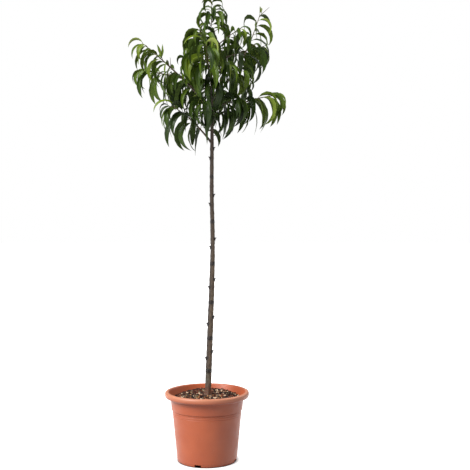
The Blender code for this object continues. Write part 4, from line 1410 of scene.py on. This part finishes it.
def add_stub(joined, index):
    """The stub of a pruned shoot on a knob: a short upward cone with a dark cut end."""
    height = knob_height(index)
    outward = np.array(direction_at(KNOB_TURN * index))
    ahead = unit(outward + np.array([0, 0, STUB_RISE]))
    start = np.array(stem_point(height)) + outward * (stem_radius(height) + knob_bulge(index) * STUB_START)
    longer, wider = SMALL_STUB_SIZE if is_small_knob(index) else STUB_SIZE
    line = [start + ahead * STUB_LENGTH * longer * k for k in (0, 0.5, 1)]
    radii = np.array(STUB_TAPER) * STUB_RADIUS * wider
    add_tube(joined, line, radii, STUB_SIDES, np.cross(outward, (0, 0, 1)), 1)


def shoot_line(shoot, begin, end, rings):
    """Points down a shoot, from its quadratic curve."""
    t = np.linspace(begin, end, rings)[:, None]
    return curve(*(np.array(point) for point in shoot.controls()), t)


def side_hint(line):
    """A direction well off the line: level and square to it, or forward where it runs upright."""
    chord = unit(np.asarray(line[-1]) - np.asarray(line[0]))
    if abs(chord[2]) > NEARLY_UPRIGHT:
        return np.array([0.0, 1.0, 0.0])
    return unit(np.cross([0, 0, 1], chord))


def make_boughs():
    """The bare lower part of each shoot, swollen where it leaves the stem: radius is (1 + 0.5 exp(-t/0.05))
    times the taper, with low rings where its buds stood."""
    joined = Joined()
    for shoot in SHOOTS:
        t = np.linspace(0, shoot.bare, BOUGH_RINGS)
        line = shoot_line(shoot, 0, shoot.bare, BOUGH_RINGS)
        taper = blend(shoot.radius * MM, TWIG_TIP_RADIUS, t)
        swelling = 1 + (COLLAR_SWELLING - 1) * np.exp(-t / COLLAR_SHARE)
        rings = np.clip(np.cos(t * 2 * np.pi / BUD_RING_SPACING), BUD_RING_FROM, 1) - BUD_RING_FROM
        add_tube(joined, line, taper * swelling + BUD_RING_RISE * rings, BOUGH_SIDES, side_hint(line))
    boughs = joined.piece("bough_bark", [stem_bark()], SOFT_CREASE)
    # The boughs get one low share of the painted light, so they take mostly the shaded copy of the bark
    paint(boughs, "painted_light_side", np.full(len(boughs.data.vertices), BOUGH_PAINTED_LIGHT))
    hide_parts(*["bough_" + shoot.name for shoot in SHOOTS])
    return boughs


def make_twigs(side_twigs):
    """Leafy twigs, their side twigs and the bare spurs, each a tapering tube. Brown at the base and green at
    the tips."""
    joined = Joined()
    for shoot in ALL_SHOOTS:
        t = np.linspace(shoot.bare, 1, TWIG_RINGS)
        line = shoot_line(shoot, shoot.bare, 1, TWIG_RINGS)
        radii = blend(shoot.radius * MM, TWIG_TIP_RADIUS, t) * np.where(t < 1, 1, TWIG_END)
        for part, finish in ((slice(GREEN_FROM_RING + 1), 0), (slice(GREEN_FROM_RING, None), 1)):
            add_tube(joined, line[part], radii[part], TWIG_SIDES, side_hint(line), finish)
        for share, end in shoot.spurs:
            start = np.array(shoot.place(share))
            spur = start + np.linspace(0, 1, SPUR_RINGS)[:, None] * np.array(end) * MM
            radii = np.linspace(SPUR_RADIUS, SPUR_TIP_RADIUS, SPUR_RINGS)
            add_tube(joined, spur, radii, TWIG_SIDES, side_hint(spur), 2)
    for twig in side_twigs:
        line = np.array(twig.line)
        radii = np.linspace(SIDE_TWIG_RADIUS, SIDE_TWIG_TIP_RADIUS, len(line))
        add_tube(joined, line, radii, SIDE_TWIG_SIDES, side_hint(line), 1)
    finishes = [
        twig_bark("brown twig bark", "#4A3527", "#6A5238"),
        twig_bark("green twig bark", "#5E6B2E", "#7A5A38"),
        twig_bark("dead spur bark", "#6E6257", "#8A7F72"),
    ]
    twigs = joined.piece("twigs", finishes, SOFT_CREASE)
    return twigs


def leaf_points(leaves, chance):
    """Points of folded leaves as an array of leaf, row, place across and xyz.

    The midrib is the running sum of equal steps along its direction (level sin a + up cos a), where a goes
    from the first angle to the last by 1 - (1-s)^1.15 and the bearing swings in proportion to s. Across it
    the blade rises from the midrib by the fold's angle, bulges about halfway out, and ripples at its margin
    by a sine of s. Seven points go round a row: margin, half blade, two of the midrib, half blade, margin,
    keel."""
    read = {name: np.array([getattr(leaf, name) for leaf in leaves])[:, None]
            for name in ("bearing", "start_angle", "end_angle", "swing", "length", "width", "roll")}
    root = np.array([leaf.root for leaf in leaves])[:, None]
    share = np.linspace(0, 1, LEAF_STEPS + 1)[None]
    bent = 1 - (1 - share) ** BEND_EASE
    angle = np.radians(blend(read["start_angle"], read["end_angle"], bent))
    heading = np.radians(read["bearing"] + read["swing"] * share)
    flat = np.zeros_like(heading)
    level = np.stack([np.sin(heading), -np.cos(heading), flat], axis=-1)
    ahead = level * np.sin(angle)[..., None] + np.array([0, 0, 1]) * np.cos(angle)[..., None]
    steps = ahead * (read["length"] / LEAF_STEPS)[..., None]
    midrib = root + np.cumsum(steps, axis=1) - steps
    aside = np.stack([np.cos(heading), np.sin(heading), flat], axis=-1)
    aside = unit(aside - ahead * np.sum(aside * ahead, axis=-1, keepdims=True))
    normal = np.cross(ahead, aside)
    count = len(leaves)
    roll = read["roll"] + np.radians(chance.uniform(*TWISTS, (count, 1))) * (share - TWIST_PIVOT)
    across = aside * np.cos(roll)[..., None] + normal * np.sin(roll)[..., None]
    above = np.cross(ahead, across)
    t = np.clip((share - STALK_SHARE) / (1 - STALK_SHARE), 0, 1)
    widest = BLADE_RISE / (BLADE_RISE + BLADE_FALL)
    outline = (t / widest) ** BLADE_RISE * ((1 - t) / (1 - widest)) ** BLADE_FALL
    half = np.maximum(STALK_HALF_WIDTH * STALK_THINNING * (1 - t), read["width"] / 2 * outline)
    open_up = np.clip(FOLD_AT_BASE - share * FOLD_LOST, 0, 1)
    fold = np.radians(chance.uniform(*FOLD_ANGLES, (count, 1))) * open_up
    waves = chance.uniform(*RIPPLES, (count, 1))
    phase = chance.uniform(0, 1, (count, 2))
    rib = np.minimum(RIB_HALF_WIDTH, half * RIB_WIDEST) * (1 - RIB_NARROWING * share)
    sides = []
    for sign, start in ((-1, phase[:, :1]), (1, phase[:, 1:])):
        ripple = RIPPLE * half * np.sin(2 * np.pi * (waves * share + start)) * np.sin(np.pi * share)
        outer = (sign * half * np.cos(fold), half * np.sin(fold) + ripple)
        rise = half * (BULGE_PLACE * np.sin(fold) + FOLD_BULGE) + ripple * INNER_RIPPLE
        middle = (sign * half * BULGE_PLACE * np.cos(fold), rise)
        sides.append([outer, middle, (sign * rib, flat)])
    depth = np.maximum(RIB_DEPTH * (1 - share) * read["length"] / RIB_DEPTH_LENGTH, LEAST_RIB_DEPTH)
    ring = sides[0] + sides[1][::-1] + [(flat, -depth)]
    points = [midrib + across * x[..., None] + above * z[..., None] for x, z in ring]
    return np.stack(points, axis=2)[:, list(LEAF_ROWS)]


def leaf_faces(count):
    """Faces of a number of leaves and the part that each belongs to: 0 the blade, 1 the midrib and stalk,
    2 the underside. Both ends of a leaf are closed."""
    rows = len(LEAF_ROWS)
    ring = len(LEAF_PARTS)
    quads = grid_faces(rows, ring, around=True)[:, ::-1]
    side = np.tile(np.arange(ring), rows - 1)
    row = np.repeat(np.arange(rows - 1), ring)
    part = np.array(LEAF_PARTS)[side]
    part = np.where((row == 0) & (part == 0), 1, part)
    first = (np.arange(count) * rows * ring)[:, None, None]
    ends = np.stack([np.arange(ring), np.arange(ring)[::-1] + (rows - 1) * ring])
    return (quads[None] + first).reshape(-1, 4), np.tile(part, count), (ends[None] + first).reshape(-1, ring)


def make_leaves(name, leaves, finishes, seed):
    """One joined piece of leaves, each dealt a tone by the painted light and shade of its spray, its age
    and a little chance.
    """
    chance = np.random.default_rng(seed)
    points = leaf_points(leaves, chance)
    tone = np.array([leaf.tone for leaf in leaves]) + PLAIN_TONE + chance.normal(0, TONE_SCATTER, len(leaves))
    tone = np.clip(np.round(tone), 0, len(LEAF_TONES) - 1).astype(int)
    quads, part, ends = leaf_faces(len(leaves))
    joined = Joined()
    joined.add(points, quads, np.repeat(tone, len(quads) // len(leaves)) * 3 + part)
    joined.cover(ends, np.repeat(tone, 2) * 3 + 1)
    return joined.piece(name, finishes, LEAF_CREASE)


def make_buds(leaves, finish):
    """A bud in the angle of each leaf: a spindle of four rings that points up and along the leaf."""
    joined = Joined()
    chance = random.Random(BUD_SEED)
    for leaf in leaves:
        _, ahead = leaf.spine()[0]
        way = (UP * BUD_UPWARD + ahead * BUD_ALONG).normalized()
        start = np.array(leaf.root + way * BUD_START)
        size = chance.uniform(*BUD_LENGTHS) * MM
        line = [start + np.array(way) * size * k for k in BUD_PLACES]
        add_tube(joined, line, np.array(BUD_RADII) * MM, BUD_SIDES, side_hint(line))
    buds = joined.piece("buds", [finish], SOFT_CREASE)
    return buds


def make_camera():
    data = bpy.data.cameras.new("camera")
    data.sensor_width = SENSOR_WIDTH
    data.lens = FOCAL_PIXELS / PICTURE_PIXELS * SENSOR_WIDTH
    camera = bpy.data.objects.new("camera", data)
    camera.location = CAMERA_PLACE
    camera.rotation_euler = (math.radians(90), 0, 0)
    bpy.context.scene.collection.objects.link(camera)
    bpy.context.scene.camera = camera


def soft_sun(name, place, strength, spread):
    """Parallel light that comes from the side of a place, softened over an angle in degrees."""
    data = bpy.data.lights.new(name, "SUN")
    data.energy = strength
    data.angle = math.radians(spread)
    light = bpy.data.objects.new(name, data)
    light.location = place
    light.rotation_euler = (-Vector(place)).to_track_quat("-Z", "Y").to_euler()
    bpy.context.scene.collection.objects.link(light)


def make_world():
    """A white studio: white to the eye, and as a light gentler from above and dim from below."""
    world = bpy.data.worlds.new("white studio")
    world.use_nodes = True
    tree = world.node_tree
    way = add(tree, "SeparateXYZ", {"Vector": add(tree, "TexCoord").outputs["Generated"]}).outputs["Z"]
    light = fade(tree, way, -WORLD_BLEND, WORLD_BLEND, WORLD_BELOW, WORLD_ABOVE)
    seen = add(tree, "LightPath").outputs["Is Camera Ray"]
    background = tree.nodes["Background"]
    background.inputs["Color"].default_value = (1, 1, 1, 1)
    tree.links.new(calculate(tree, "MAXIMUM", light, seen), background.inputs["Strength"])
    bpy.context.scene.world = world


def make_floor():
    """A white floor that glows a little, so that it meets the white backdrop without an edge, but not under
    the pot, where its colour is painted shade, near black. It sends no light back up."""
    made, tree, shader = start_material("white studio floor", 0.7)
    shader.inputs["Emission Color"].default_value = (1, 1, 1, 1)
    distance = object_distance(tree)
    glow = fade(tree, distance, *FLOOR_GLOW_FROM, 0.0, FLOOR_GLOW)
    tree.links.new(glow, shader.inputs["Emission Strength"])
    # Painted shade: near black under the pot, white beyond its edge
    base = mix(tree, fade(tree, distance, *FLOOR_PAINTED_SHADE_TO_WHITE), "#141414", "#E7E7E7")
    tree.links.new(base, shader.inputs["Base Color"])
    joined = Joined()
    corners = [(x * FLOOR_HALF_SIZE, y * FLOOR_HALF_SIZE, -FLOOR_DEPTH) for x, y in SQUARE]
    joined.add(corners, [(0, 1, 2, 3)])
    floor = joined.piece("floor", [made])
    floor.visible_diffuse = False


def main():
    make_camera()
    make_world()
    make_floor()
    for sun in SUNS:
        soft_sun(*sun)
    bpy.context.scene.view_settings.view_transform = "Standard"

    pieces = [make_pot(), make_soil(), make_chips(), make_stem(), make_boughs()]
    crowd = stand_of_limbs()
    grown = {shoot.name: grow_leaves(shoot, crowd) for shoot in ALL_SHOOTS}
    side_twigs = [twig for shoot in ALL_SHOOTS for twig in grow_side_twigs(shoot, crowd)]
    pieces.append(make_twigs(side_twigs))
    finishes = leaf_finishes()
    main_leaves = [leaf for leaves in grown.values() for leaf in leaves]
    small_leaves = [leaf for twig in side_twigs for leaf in twig.leaves]
    leaves = make_leaves("leaves", main_leaves, finishes, LEAF_SEED)
    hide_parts(*["leaves_" + name for name in grown])
    small = make_leaves("small_leaves", small_leaves, finishes, SMALL_LEAF_SEED)
    pieces += [leaves, small, make_buds(main_leaves, plain_finish("bud scales", "#4B3526", 0.6))]
    for piece in pieces:
        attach(piece, "root")


main()
